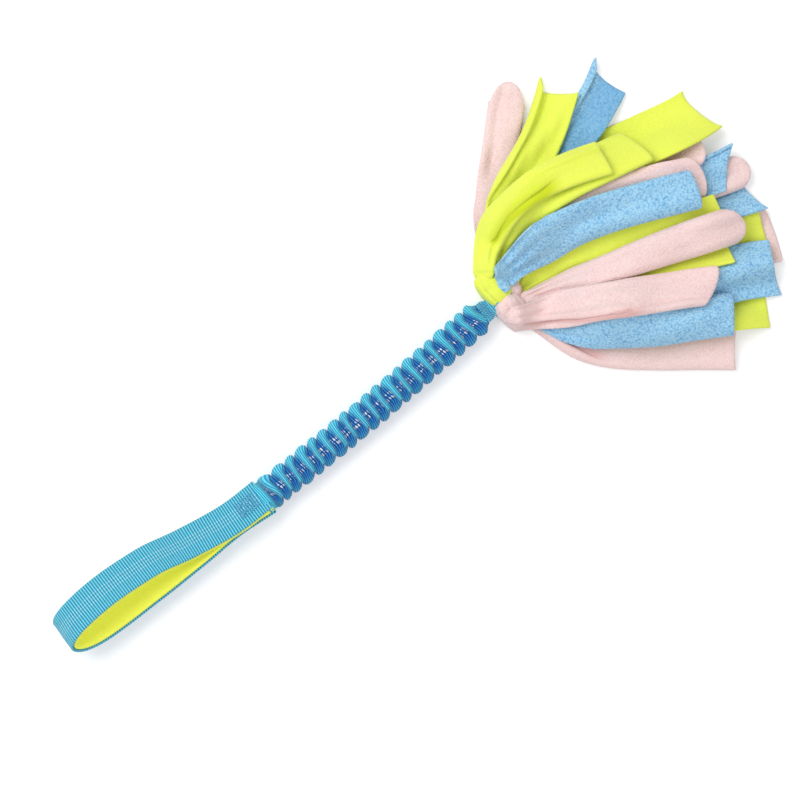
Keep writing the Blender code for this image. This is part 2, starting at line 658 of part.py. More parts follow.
def build_tail(tail, pile, materials):
    bm, thickness = settle(tail, pile)
    item = add_object(tail["name"], bm, materials[tail["colour"]])
    crushed = ROOT_THICKNESS / STRIP_THICKNESS
    group = item.vertex_groups.new(name="Fullness")
    for index, value in enumerate(thickness):
        group.add([index], (value / STRIP_THICKNESS - crushed) / (1.0 - crushed), "REPLACE")
    thicken = item.modifiers.new("Thickness", "SOLIDIFY")
    thicken.thickness = STRIP_THICKNESS
    thicken.offset = 0.0
    thicken.vertex_group = group.name
    thicken.thickness_vertex_group = crushed
    return item


def build_toy():
    clear_scene()
    webbing = make_material("webbing_blue", (0.05, 0.42, 0.62), 0.6)
    thread = make_material("thread_blue", (0.03, 0.22, 0.42), 0.7)
    lining = make_material("lining_yellow", (0.72, 0.86, 0.06), 0.9)
    elastic = make_material("elastic_black", (0.05, 0.05, 0.05), 0.7)
    materials = {PINK: make_material(PINK, (0.90, 0.66, 0.64), 0.95),
                 YELLOW: make_material(YELLOW, (0.80, 0.94, 0.10), 0.95),
                 BLUE: make_material(BLUE, (0.27, 0.55, 0.78), 0.95)}
    half = 0.5 * WEBBING_THICKNESS
    frames = band_frames(catmull_rom(loop_stations(), LOOP_POINTS))
    build_band("handle_webbing", frames, WEBBING_WIDTH, -half, half, webbing)
    inner = -half - CLEARANCE
    build_band("handle_lining", frames, LINING_WIDTH, inner - LINING_THICKNESS, inner, lining)
    build_neck_stitching(frames, thread)
    neck = frames[0][0] + frames[0][1] * half
    put_origin([build_sleeve(webbing), build_core(elastic)], neck)
    eye = build_end_loop(webbing)
    stitching = build_tab_stitching(thread)
    bundle = build_bundle(materials)
    bundle.append(build_crossing(materials[BLUE]))
    longest = TASSEL_REACH + STRIP_WIDTH
    corner = np.array([EYE_CENTRE.x, EYE_CENTRE.y])
    pile = Pile(corner - (STRIP_WIDTH, longest), corner + (longest, longest))
    for item in bundle + [eye]:
        pile.add_knot(item)
    tails = [build_tail(tail, pile, materials) for tail in TAILS]
    put_origin([eye, stitching], Vector((TAB_START, 0.0, BUNGEE_HEIGHT)))
    put_origin(bundle + tails, EYE_CENTRE)
    print("eye centre", [round(value / MM, 2) for value in EYE_CENTRE])
    print("neck", [round(value / MM, 2) for value in neck])


build_toy()
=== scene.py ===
import math

import bmesh
import bpy
import numpy as np
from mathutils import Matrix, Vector, noise


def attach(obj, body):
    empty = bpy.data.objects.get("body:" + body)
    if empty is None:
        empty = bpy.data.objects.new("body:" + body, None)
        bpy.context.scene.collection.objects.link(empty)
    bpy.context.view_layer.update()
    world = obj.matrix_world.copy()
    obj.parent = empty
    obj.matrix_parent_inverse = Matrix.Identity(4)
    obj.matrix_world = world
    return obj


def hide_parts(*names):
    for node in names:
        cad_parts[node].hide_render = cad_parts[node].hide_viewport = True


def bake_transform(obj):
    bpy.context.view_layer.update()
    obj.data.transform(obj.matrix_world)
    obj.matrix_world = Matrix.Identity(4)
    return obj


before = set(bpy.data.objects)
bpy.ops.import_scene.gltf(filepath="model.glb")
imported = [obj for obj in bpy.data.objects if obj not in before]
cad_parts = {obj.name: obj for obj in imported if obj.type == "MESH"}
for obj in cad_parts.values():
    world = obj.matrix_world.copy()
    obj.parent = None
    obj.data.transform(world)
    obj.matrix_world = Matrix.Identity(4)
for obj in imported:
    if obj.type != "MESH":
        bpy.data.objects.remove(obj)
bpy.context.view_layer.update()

mm = 0.001
scene = bpy.context.scene


def addObject(name, data):
    added = bpy.data.objects.new(name, data)
    scene.collection.objects.link(added)
    return added


def meshObject(name, bm, material):
    mesh = bpy.data.meshes.new(name)
    bm.to_mesh(mesh)
    bm.free()
    mesh.materials.append(material)
    return addObject(name, mesh)


# Camera, light and floor
view = dict(centre=(0.096, -0.008, 0.012), height=2.6, across=0.488, turn=-40.0)
light = dict(aim=(0.08, 0.0, 0.0), keyPlace=(-0.15, 1.25, 1.75), keySize=1.7, keyPower=28.5,
             fillPlace=(0.1, -0.9, 1.8), fillSize=1.6, fillPower=9.0, skyStrength=0.54,
             floorWhite=(0.86, 0.86, 0.87), floorGlow=0.26, floorHalf=4.0)
white = (1.0, 1.0, 1.0)


def placeCamera():
    camera = bpy.data.cameras.new("camera")
    camera.lens = camera.sensor_width * view["height"] / view["across"]
    holder = addObject("camera", camera)
    holder.location = Vector(view["centre"]) + Vector((0.0, 0.0, view["height"]))
    holder.rotation_euler.z = math.radians(view["turn"])
    scene.camera = holder


def areaLamp(name):
    lamp = bpy.data.lights.new(name, "AREA")
    lamp.shape = "DISK"
    lamp.size = light[name + "Size"]
    lamp.energy = light[name + "Power"]
    holder = addObject(name, lamp)
    holder.location = light[name + "Place"]
    holder.rotation_euler = (Vector(light["aim"]) - holder.location).to_track_quat("-Z", "Y").to_euler()


# Shader maths: a socket that adds its Math nodes when it is used in an expression
class Wire:
    def __init__(self, tree, socket):
        self.tree = tree
        self.socket = socket

    def math(self, operation, *others):
        node = self.tree.nodes.new("ShaderNodeMath")
        node.operation = operation
        for place, value in enumerate((self,) + others):
            feed(self.tree, node.inputs[place], value)
        return Wire(self.tree, node.outputs[0])

    def __add__(self, other):
        return self.math("ADD", other)

    __radd__ = __add__

    def __mul__(self, other):
        return self.math("MULTIPLY", other)

    __rmul__ = __mul__

    def __sub__(self, other):
        return self.math("SUBTRACT", other)

    def __rsub__(self, other):
        return (self * -1.0) + other

    def above(self, other):
        return self.math("GREATER_THAN", other)

    def limit(self):
        return self.math("MAXIMUM", 0.0).math("MINIMUM", 1.0)


def feed(tree, socket, value):
    if isinstance(value, Wire):
        tree.links.new(value.socket, socket)
    elif isinstance(value, tuple) and len(value) == 3 and socket.type == "RGBA":
        socket.default_value = (*value, 1.0)
    else:
        socket.default_value = value


class Finish:
    def __init__(self, name):
        self.material = bpy.data.materials.new(name)
        self.material.use_nodes = True
        self.tree = self.material.node_tree
        self.tree.nodes.clear()
        self.shader = self.tree.nodes.new("ShaderNodeBsdfPrincipled")
        self.output = self.tree.nodes.new("ShaderNodeOutputMaterial")
        self.tree.links.new(self.shader.outputs[0], self.output.inputs[0])

    def node(self, kind, settings=None, inputs=None, output=0):
        node = self.tree.nodes.new(kind)
        for key, value in (settings or {}).items():
            setattr(node, key, value)
        for key, value in (inputs or {}).items():
            feed(self.tree, node.inputs[key], value)
        return Wire(self.tree, node.outputs[output])

    def set(self, **values):
        for key, value in values.items():
            feed(self.tree, self.shader.inputs[key.replace("_", " ")], value)

    def place(self):
        return self.node("ShaderNodeTexCoord", output="Object")

    def attribute(self, name):
        return self.node("ShaderNodeAttribute", dict(attribute_name=name), output="Fac")

    def cloth(self):            # place across and along the cloth, in metres
        parts = self.tree.nodes.new("ShaderNodeSeparateXYZ")
        feed(self.tree, parts.inputs[0], self.node("ShaderNodeUVMap", dict(uv_map="cloth")))
        return Wire(self.tree, parts.outputs[0]), Wire(self.tree, parts.outputs[1])

    def fuzz(self, scale, detail, rough):
        return self.node("ShaderNodeTexNoise", inputs=dict(Vector=self.place(), Scale=scale, Detail=detail,
                                                           Roughness=rough))

    def blend(self, share, first, second):
        return self.node("ShaderNodeMix", dict(data_type="RGBA"), {0: share, 6: first, 7: second}, output=2)

    def bump(self, height, depth, after=None):
        inputs = dict(Height=height, Distance=depth, Strength=1.0)
        if after is not None:
            inputs["Normal"] = after
        return self.node("ShaderNodeBump", inputs=inputs)


# Fleece: a pile of short curled fibres that clump into soft pills
fleeceLooks = {
    "fleece_pink": dict(light=(0.90, 0.715, 0.70), dark=(0.76, 0.46, 0.44), pill=1.15 * mm,
                        pillDepth=0.34 * mm, napDepth=0.16 * mm, contrast=0.62),
    "fleece_yellow": dict(light=(0.85, 0.93, 0.135), dark=(0.60, 0.70, 0.02), pill=1.0 * mm,
                          pillDepth=0.12 * mm, napDepth=0.08 * mm, contrast=0.30),
    "fleece_blue": dict(light=(0.385, 0.67, 0.87), dark=(0.09, 0.31, 0.60), pill=1.35 * mm,
                        pillDepth=0.50 * mm, napDepth=0.22 * mm, contrast=1.05),
    "lining_yellow": dict(light=(0.98, 1.0, 0.15), dark=(0.84, 0.91, 0.06), pill=1.0 * mm,
                          pillDepth=0.14 * mm, napDepth=0.10 * mm, contrast=0.40),
}
# Patterns finer and wider than a pill, wide patches, and how much each shades the cloth; the last value is
# how far painted shade in folds and on a strip's lee darkens the cloth
fleeceGrain = dict(softness=0.5, nap=1.9, clump=0.42, patchScale=60.0, napTone=0.9, pillToneAndShade=1.1,
                   clumpTone=0.45, patchTone=0.35, middle=0.72, inside=0.8)


def fleeceFinish(name):
    look, grain = fleeceLooks[name], fleeceGrain
    finish = Finish("cloth_" + name)
    pills = finish.node("ShaderNodeTexVoronoi", dict(feature="SMOOTH_F1"), dict(
        Vector=finish.place(), Scale=1.0 / look["pill"], Smoothness=grain["softness"]))
    nap = finish.fuzz(grain["nap"] / look["pill"], 2.0, 0.6)
    clump = finish.fuzz(grain["clump"] / look["pill"], 2.0, 0.55)
    patch = finish.fuzz(grain["patchScale"], 2.0, 0.5)
    # Tone: random nap, clump and patch tones, and pills lighter at their raised middles than at their edges,
    # partly their own tone and partly painted shade between the pills
    tone = ((nap - 0.5) * grain["napTone"] + (0.5 - pills) * grain["pillToneAndShade"]
            + (clump - 0.5) * grain["clumpTone"] + (patch - 0.5) * grain["patchTone"])
    share = (tone * look["contrast"] + grain["middle"]).limit()
    colour = finish.blend(share, look["dark"], look["light"])
    # Painted shade: the cloth turns towards its dark colour inside folds and on a strip's lee side
    paintedShadeShare = (finish.attribute("inside") * grain["inside"]).limit()
    deep = finish.bump(1.0 - pills, look["pillDepth"])
    finish.set(Base_Color=finish.blend(paintedShadeShare, colour, look["dark"]),
               Normal=finish.bump(nap, look["napDepth"], deep), Roughness=0.95, Sheen_Weight=0.3,
               Sheen_Roughness=0.45, Specular_IOR_Level=0.2)
    return finish.material


# Ribbed tubular webbing with reflective threads along its middle, which show as broken dashes when gathered
# The gathered webbing has lit crest and groove colours for the tops of its gathers and darker ones, painted
# shade, for its hollows
weave = dict(ribPitch=1.68 * mm, yarnPitch=0.55 * mm, crest=(0.14, 0.68, 0.84), grooveShade=(0.010, 0.16, 0.33),
             silver=(0.80, 0.86, 0.88), threadPlaces=(-2.7 * mm, 0.0, 2.7 * mm), threadHalf=0.28 * mm,
             litCrest=(0.12, 0.78, 0.96), litGroove=(0.010, 0.22, 0.46), shadedCrest=(0.008, 0.21, 0.58),
             shadedGroove=(0.003, 0.030, 0.19), dashPlaces=(-2.6 * mm, 1.1 * mm), dashHalf=1.25 * mm,
             threadShow=0.34, wander=0.5, wornScale=900.0, gapScale=420.0, bumpDepth=0.35 * mm)


def webbingFinish(name, gathered):
    finish = Finish(name)
    u, v = finish.cloth()
    wander = (finish.fuzz(60.0, 1.0, 0.5) - 0.5) * weave["wander"]
    ribWave = (v * (math.pi / weave["ribPitch"]) + wander).math("SINE").math("ABSOLUTE")
    yarn = (u * (math.tau / weave["yarnPitch"]) + v * (math.pi / weave["ribPitch"])).math("SINE")
    worn = finish.fuzz(weave["wornScale"], 2.0, 0.6)
    # Painted shade: the colour runs from darker in the grooves between the ribs to lighter on their crests
    share = (ribWave * 1.25 - 0.28 + (worn - 0.5) * 0.5 + yarn * 0.05).limit()
    if gathered:
        # depth is each point's painted light share, low in the gathers' hollows: it blends painted shade into
        # the hollows and lit colours onto the tops, and lets the silver dashes show where it is low
        depth = finish.attribute("depth")
        top = finish.blend(share, weave["litGroove"], weave["litCrest"])
        hollow = finish.blend(share, weave["shadedGroove"], weave["shadedCrest"])
        colour = finish.blend((depth * 1.7 - 0.35).limit(), hollow, top)
        places, half, show = weave["dashPlaces"], weave["dashHalf"], (1.1 - depth * 1.5).limit()
        missing = finish.fuzz(weave["gapScale"], 1.0, 0.5)
        dash = (ribWave + (missing - 0.5) * 2.4).above(0.92)
    else:
        colour = finish.blend(share, weave["grooveShade"], weave["crest"])
        places, half, show = weave["threadPlaces"], weave["threadHalf"], weave["threadShow"]
        dash = (ribWave + (worn - 0.5) * 0.8).above(0.45)
    lines = 0.0
    for place in places:
        lines = ((u - place).math("ABSOLUTE") * -1.0 + half).above(0.0) + lines
    silver = (lines * dash).limit() * show
    finish.set(Base_Color=finish.blend(silver, colour, weave["silver"]), Roughness=0.55 - silver * 0.2,
               Normal=finish.bump(ribWave + yarn * 0.10, weave["bumpDepth"]), Sheen_Weight=0.15,
               Sheen_Roughness=0.4, Specular_IOR_Level=0.35)
    return finish.material


# Twisted thread and the elastic's braid
bandLooks = dict(
    stitching_thread=dict(light=(0.16, 0.54, 0.78), dark=(0.03, 0.24, 0.46), depth=0.12 * mm, rough=0.5,
                          sheen=0.2, way="DIAGONAL", wave=dict(Scale=420.0, Distortion=1.5, Detail=1.0)),
    braided_elastic=dict(light=(0.09, 0.09, 0.095), dark=(0.02, 0.02, 0.022), depth=0.3 * mm, rough=0.7,
                         sheen=0.0, way="X", wave=dict(Scale=130.0, Distortion=3.0, Detail=2.0)))


def bandFinish(name):
    look = bandLooks[name]
    finish = Finish(name)
    bands = finish.node("ShaderNodeTexWave", dict(wave_type="BANDS", bands_direction=look["way"]),
                        dict(Vector=finish.place(), **look["wave"]), output="Fac")
    finish.set(Base_Color=finish.blend(bands, look["dark"], look["light"]), Roughness=look["rough"],
               Normal=finish.bump(bands, look["depth"]), Sheen_Weight=look["sheen"])
    return finish.material


# The floor glows a little for the camera alone, so that it is near white without lighting the toy
def floorFinish():
    finish = Finish("floor")
    finish.set(Base_Color=light["floorWhite"], Roughness=0.9, Specular_IOR_Level=0.1)
    glow = finish.node("ShaderNodeEmission", inputs=dict(Color=white, Strength=light["floorGlow"]))
    seen = finish.node("ShaderNodeLightPath", output="Is Camera Ray")
    dark = finish.node("ShaderNodeEmission", inputs=dict(Strength=0.0))
    lift = finish.node("ShaderNodeMixShader", inputs={0: seen, 1: dark, 2: glow})
    lit = Wire(finish.tree, finish.shader.outputs[0])
    feed(finish.tree, finish.output.inputs[0], finish.node("ShaderNodeAddShader", inputs={0: lit, 1: lift}))
    return finish.material


def layFloor():
    bm = bmesh.new()
    bmesh.ops.create_grid(bm, x_segments=1, y_segments=1, size=light["floorHalf"])
    meshObject("floor", bm, floorFinish())
    world = bpy.data.worlds.new("studio")
    world.use_nodes = True
    tree = world.node_tree
    tree.nodes.clear()
    path, mixer, output = (tree.nodes.new("ShaderNode" + kind) for kind in ("LightPath", "MixShader",
                                                                            "OutputWorld"))
    tree.links.new(path.outputs["Is Camera Ray"], mixer.inputs[0])
    for socket, strength in ((1, light["skyStrength"]), (2, 1.0)):     # what lights the toy, what is seen
        sky = tree.nodes.new("ShaderNodeBackground")
        sky.inputs[0].default_value = (*white, 1.0)
        sky.inputs[1].default_value = strength
        tree.links.new(sky.outputs[0], mixer.inputs[socket])
    tree.links.new(mixer.outputs[0], output.inputs[0])
    scene.world = world


# Shared sums and mesh helpers
def clamp(value, low, high):
    return min(max(value, low), high)


def ease(value):
    value = clamp(value, 0.0, 1.0)
    return value * value * (3.0 - 2.0 * value)


def mix(first, last, share):
    return first + (last - first) * share


def lumps(x, y, z):
    return noise.noise(Vector((x, y, z)))


def signedPower(value, power):
    return math.copysign(abs(value) ** power, value)


def heading(angle):
    return np.array([math.cos(angle), math.sin(angle)])


def gridMesh(across, along):
    bm = bmesh.new()
    bmesh.ops.create_grid(bm, x_segments=across, y_segments=along, size=0.5)
    return bm


# Where each point lies on its flat cloth, for the weave
def layCloth(bm, places):
    layer = bm.loops.layers.uv.new("cloth")
    bm.verts.index_update()
    for face in bm.faces:
        for loop in face.loops:
            loop[layer].uv = places[loop.vert.index]


def finishPiece(name, bm, material, body, node):
    bmesh.ops.recalc_face_normals(bm, faces=bm.faces)
    piece = meshObject(name, bm, material)
    piece.data.shade_smooth()
    if body:
        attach(piece, body)
    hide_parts(node)
    return piece


# A sheet gets its thickness, down to a smallest share by a vertex group, and is smoothed
def thicken(piece, thickness, group=None, smallest=0.0):
    solid = piece.modifiers.new("thickness", "SOLIDIFY")
    solid.thickness = thickness
    solid.offset = 0.0
    if group:
        solid.vertex_group = group
        solid.thickness_vertex_group = smallest
    smooth = piece.modifiers.new("smooth", "SUBSURF")
    smooth.levels = smooth.render_levels = 1


def catmullRom(stations, count):
    stations = np.array(stations, dtype=float)
    padded = np.vstack([2 * stations[0] - stations[1], stations, 2 * stations[-1] - stations[-2]])
    spans = len(stations) - 1
    points = []
    for place in np.linspace(0.0, spans, count):
        span = min(int(place), spans - 1)
        t = place - span
        a, b, c, d = padded[span:span + 4]
        points.append(0.5 * (2 * b + (c - a) * t + (2 * a - 5 * b + 4 * c - d) * t ** 2
                             + (3 * b - a - 3 * c + d) * t ** 3))
    return np.array(points)


# Lengths along a path of points
def marksOf(points):
    return np.concatenate([[0.0], np.cumsum(np.linalg.norm(np.diff(points, axis=0), axis=1))])


# A path's points at count lengths, evenly apart or closer at its start, and those lengths
def spacedPath(points, count, grading=1.0):
    marks = marksOf(points)
    places = marks[-1] * np.linspace(0.0, 1.0, count) ** grading
    return np.stack([np.interp(places, marks, line) for line in points.T], axis=1), places


def rimsOf(bm):
    return [edge for edge in bm.edges if edge.is_boundary]


def finalMesh(item):
    bpy.context.view_layer.update()
    graph = bpy.context.evaluated_depsgraph_get()
    return bpy.data.meshes.new_from_object(item.evaluated_get(graph), depsgraph=graph)


def threadPiece(name, runs, radius, material, body, node):
    curve = bpy.data.curves.new(name, "CURVE")
    curve.dimensions = "3D"
    curve.bevel_depth = radius
    curve.bevel_resolution = 1
    curve.use_fill_caps = True
    for run in runs:
        spline = curve.splines.new("POLY")
        spline.points.add(len(run) - 1)
        for point, place in zip(spline.points, run):
            point.co = (*place, 1.0)
    holder = addObject(name + "_line", curve)
    bm = bmesh.new()
    bm.from_mesh(finalMesh(holder))
    bpy.data.objects.remove(holder, do_unlink=True)
    return finishPiece(name, bm, material, body, node)


# Hand loop: the webbing band, its soft lining and the sewn box
handLoop = dict(width=25.0 * mm, thickness=1.8 * mm, liningWidth=24.0 * mm, liningThickness=2.0 * mm,
                gap=0.3 * mm, reach=153.0 * mm, opening=27.0 * mm, lean=math.radians(35.0), yaw=2.2 * mm,
                start=-5.02 * mm, rows=420, ribDepth=0.10 * mm, sag=0.35 * mm)
boxStitch = dict(near=5.5 * mm, length=12.5 * mm, width=11.0 * mm, inset=2.2 * mm, stitch=2.3 * mm,
                 rise=0.45 * mm, radius=0.33 * mm)
loopBends = [(0.17, 0.25, -3.0), (0.37, 0.42, 0.2), (0.54, 0.78, 1.2), (0.76, 1.0, 1.3), (0.93, 0.95, 0.9),
             (1.0, 0.62, 1.8), (0.965, 0.25, 1.7), (0.85, 0.05, 1.0), (0.62, 0.0, 0.0), (0.38, 0.0, -1.0),
             (0.17, 0.0, -1.2)]     # share of the reach, rise as a share of the opening, sideways in mm


def loopPath():
    h = handLoop
    halfStack = 0.5 * h["thickness"] + 1.5 * h["gap"] + h["liningThickness"]
    lean = heading(h["lean"])[::-1]
    drop = 0.5 * (h["width"] * lean[0] + h["thickness"] * lean[1])
    lying = np.array([h["yaw"], drop])
    neck = np.array([0.0, drop + halfStack * lean[1]])
    run = h["reach"] + h["start"]
    stations = [(h["start"], *(neck + halfStack * lean))]
    for share, rise, shift in loopBends:
        place = lying + rise * h["opening"] * lean
        stations.append((h["start"] - share * run, place[0] + shift * mm, place[1]))
    stations.append((h["start"], *(neck - halfStack * lean)))
    return spacedPath(catmullRom(stations, 900), h["rows"] + 1)


def loopFrames(path):
    crosswise = Vector((0.0, math.cos(handLoop["lean"]), -math.sin(handLoop["lean"])))
    frames = []
    last = len(path) - 1
    for i, point in enumerate(path):
        ahead = Vector(path[min(i + 2, last)]) - Vector(path[max(i - 2, 0)])
        ahead.normalize()
        if i in (0, last):
            ahead = Vector((1.0 if i else -1.0, 0.0, 0.0))
        outward = crosswise.cross(ahead).normalized()
        frames.append((Vector(point), outward, ahead.cross(outward).normalized()))
    return frames


def bandPiece(name, frames, marks, width, middle, thickness, columns, material, node, ripple):
    rows = len(frames) - 1
    bm = gridMesh(columns, rows)
    cloth = []
    for vert in bm.verts:
        share = vert.co.x
        row = round((vert.co.y + 0.5) * rows)
        centre, outward, side = frames[row]
        wave = ripple * math.sin(math.tau * marks[row] / weave["ribPitch"] - 0.5 * math.pi)
        sag = handLoop["sag"] * lumps(share * 2.0, marks[row] * 45.0, 4.0)
        vert.co = centre + outward * (middle + wave + sag) + side * (share * width)
        vert.co.z = max(vert.co.z, 0.5 * thickness)
        cloth.append((share * width, marks[row]))
    layCloth(bm, cloth)
    piece = finishPiece(name, bm, material, None, node)
    thicken(piece, thickness)
    return piece


def settle(piece):          # modifiers become the mesh, as blend needs the final one
    mesh = finalMesh(piece)
    piece.modifiers.clear()
    piece.data = mesh
    for vert in mesh.vertices:
        vert.co.z = max(vert.co.z, 0.05 * mm)


def buildHandLoop(webbing, lining, thread):
    path, marks = loopPath()
    frames = loopFrames(path)
    h = handLoop
    band = bandPiece("webbing_loop", frames, marks, h["width"] - 0.4 * mm, 0.0, h["thickness"] - 0.2 * mm, 16,
                     webbing, "handle_webbing", h["ribDepth"])
    inner = -0.5 * h["thickness"] - h["gap"] - 0.5 * h["liningThickness"]
    soft = bandPiece("lining_loop", frames[::3], marks[::3], h["liningWidth"], inner, h["liningThickness"],
                     12, lining, "handle_lining", 0.0)
    for piece in (band, soft):
        settle(piece)
        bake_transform(piece)

    x0, x1 = boxStitch["near"], boxStitch["near"] + boxStitch["length"]
    w = 0.5 * boxStitch["width"]
    corners = [(x0, -w), (x1, -w), (x1, w), (x0, w), (x0, -w), (x1, w), (x1, -w), (x0, w)]
    x0, x1, w = x0 + boxStitch["inset"], x1 - boxStitch["inset"], w - boxStitch["inset"]
    corners += [(x0, w), (x1, w), (x1, -w), (x0, -w), (x0, w)]
    run = []
    travelled = 0.0
    for (ax, ay), (bx, by) in zip(corners, corners[1:]):
        length = math.hypot(bx - ax, by - ay)
        steps = max(int(length / (0.35 * mm)), 1)
        for i in range(steps):
            t = i / steps
            along, aside = mix(ax, bx, t), mix(ay, by, t)
            row = float(np.interp(along, marks, np.arange(len(marks))))
            low = int(row)
            centre, outward, side = (frames[low][k].lerp(frames[low + 1][k], row - low) for k in range(3))
            dip = abs(math.sin(math.pi * (travelled + length * t) / boxStitch["stitch"]))
            rise = 0.5 * h["thickness"] + boxStitch["rise"] * dip - 0.05 * mm
            run.append(centre + outward * rise + side * aside)
        travelled += length
    stitches = threadPiece("box_stitching", [run], boxStitch["radius"], thread, None, "neck_stitching")
    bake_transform(stitches)
    print("hand loop", round(float(marks[-1]) / mm), "mm of webbing")


# Bungee: a webbing tube gathered over its cord
bungee = dict(gathers=20, length=172.5 * mm, ridge=10.9 * mm, valley=6.7 * mm, hollow=6.2 * mm,
              height=10.0 * mm, spread=0.16, slantNeck=math.radians(24.0), slantTab=math.radians(13.0),
              slantRun=20.0 * mm, bow=1.6 * mm, mouthNeck=(11.3 * mm, 6.3 * mm),
              mouthTab=(7.4 * mm, 6.3 * mm), core=4.4 * mm, around=96, perGather=24,
              webbingPerGather=12.6 * mm, webbingAround=8.0 * mm, collar=3.6 * mm, collarRows=6,
              collarSize=(12.2 * mm, 4.15 * mm), collarLift=0.65 * mm)
gather = dict(leftFrom=0.50, rightFrom=0.52, rightFull=0.98, crest=0.225, crestLean=0.06, rightShade=0.45,
              wobble=0.07, unlike=0.03)
weights = [1.0 + bungee["spread"] * math.sin(2.4 * k + 0.7) for k in range(bungee["gathers"])]
pitches = [bungee["length"] * weight / sum(weights) for weight in weights]
sleeveStart = -0.5 * pitches[0]
sleeveEnd = sleeveStart + bungee["length"]


def bungeeSide(x):
    share = (x - sleeveStart) / bungee["length"]
    return -bungee["bow"] * math.sin(math.pi * clamp(share, 0.0, 1.0))


def slantAt(x):
    share = (x - sleeveStart) / bungee["length"]
    slant = math.tan(mix(bungee["slantNeck"], bungee["slantTab"], share))
    return slant * ease(min(x - sleeveStart, sleeveEnd - x) / bungee["slantRun"])


# Each gather is a rounded lobe at both sides of the bungee. Its crest leaves the left lobe and dies out
# between two lobes at the right, where the hollow beside it swells into the right lobe. It also gives a
# painted
# light share: full on the crest and left lobe, weaker on the right lobe, low in the hollows.
def gatherForm(phase, aside):
    near = abs((phase + 0.5) % 1.0 - 0.5)
    leftShare = ease((aside - gather["leftFrom"]) / (1.0 - gather["leftFrom"]))
    rightShare = ease((-aside - gather["rightFrom"]) / (gather["rightFull"] - gather["rightFrom"]))
    leftLobe = math.sqrt(max(1.0 - (2.0 * near) ** 2, 0.0))
    rightLobe = math.sqrt(max(1.0 - (1.0 - 2.0 * near) ** 2, 0.0))
    crest = math.exp(-(near / (gather["crest"] + gather["crestLean"] * aside)) ** 2)
    topShare = 1.0 - leftShare - rightShare
    form = leftShare * leftLobe + topShare * crest
    return form + rightShare * rightLobe, form + gather["rightShade"] * rightShare * rightLobe, topShare


def ovalPoint(x, halfWidth, halfHeight, angle, lean=0.0, square=1.0, lift=0.0):
    across = halfWidth * signedPower(math.sin(angle + lean), square)
    rise = halfHeight * signedPower(math.cos(angle + lean), square)
    y = across * math.cos(lean) + rise * math.sin(lean)
    z = rise * math.cos(lean) - across * math.sin(lean)
    x += slantAt(clamp(x, sleeveStart, sleeveEnd)) * y
    return Vector((x, bungeeSide(x) + y, max(bungee["height"] + lift + z, 0.1 * mm)))


# One point of the sleeve and its painted light share: t runs over gather k, angle goes round from the top,
# and the share is full at the neck's mouth
def sleevePoint(k, t, angle):
    b = bungee
    aside = math.sin(angle)
    wobble = gather["wobble"] * lumps(1.1 * math.cos(angle), 1.1 * aside, k * 3.1)
    phase = t - 0.5 - 0.5 * ease(0.5 - 0.5 * aside) + wobble * math.sin(math.pi * t)
    form, bright, topShare = gatherForm(phase, aside)
    swell = lumps(k + t - 0.5, 7.7, 0.3)
    ridge = b["ridge"] * (1.0 - 0.02 * (1.0 - math.cos(1.9 * (k + t - 0.5))) + gather["unlike"] * swell)
    radius = mix(mix(b["valley"], b["hollow"], topShare), ridge, form)
    x = sleeveStart + sum(pitches[:k]) + pitches[k] * t
    if k == 0 and t < 0.5:
        lead = ease(2.0 * t)
        half = [mix(size, radius, lead) for size in b["mouthNeck"]]
        return ovalPoint(x, *half, angle, lean=handLoop["lean"] * (1.0 - lead)), max(bright, 1.0 - lead)
    if k == b["gathers"] - 1 and t > 0.5:
        lead = ease(2.0 * t - 1.0)
        half = [mix(radius, size, lead) for size in b["mouthTab"]]
        return ovalPoint(x, *half, angle), bright
    return ovalPoint(x, radius, radius, angle), bright


# The collar by which the sleeve runs out over the hand loop's sewn end, with full painted light
def collarPoint(share, angle):
    b = bungee
    half = [mix(first, last, share) for first, last in zip(b["collarSize"], b["mouthNeck"])]
    x = sleeveStart - b["collar"] * (1.0 - share)
    return ovalPoint(x, *half, angle, lean=handLoop["lean"], square=0.55 + 0.45 * share,
                     lift=b["collarLift"] * (1.0 - share)), 1.0


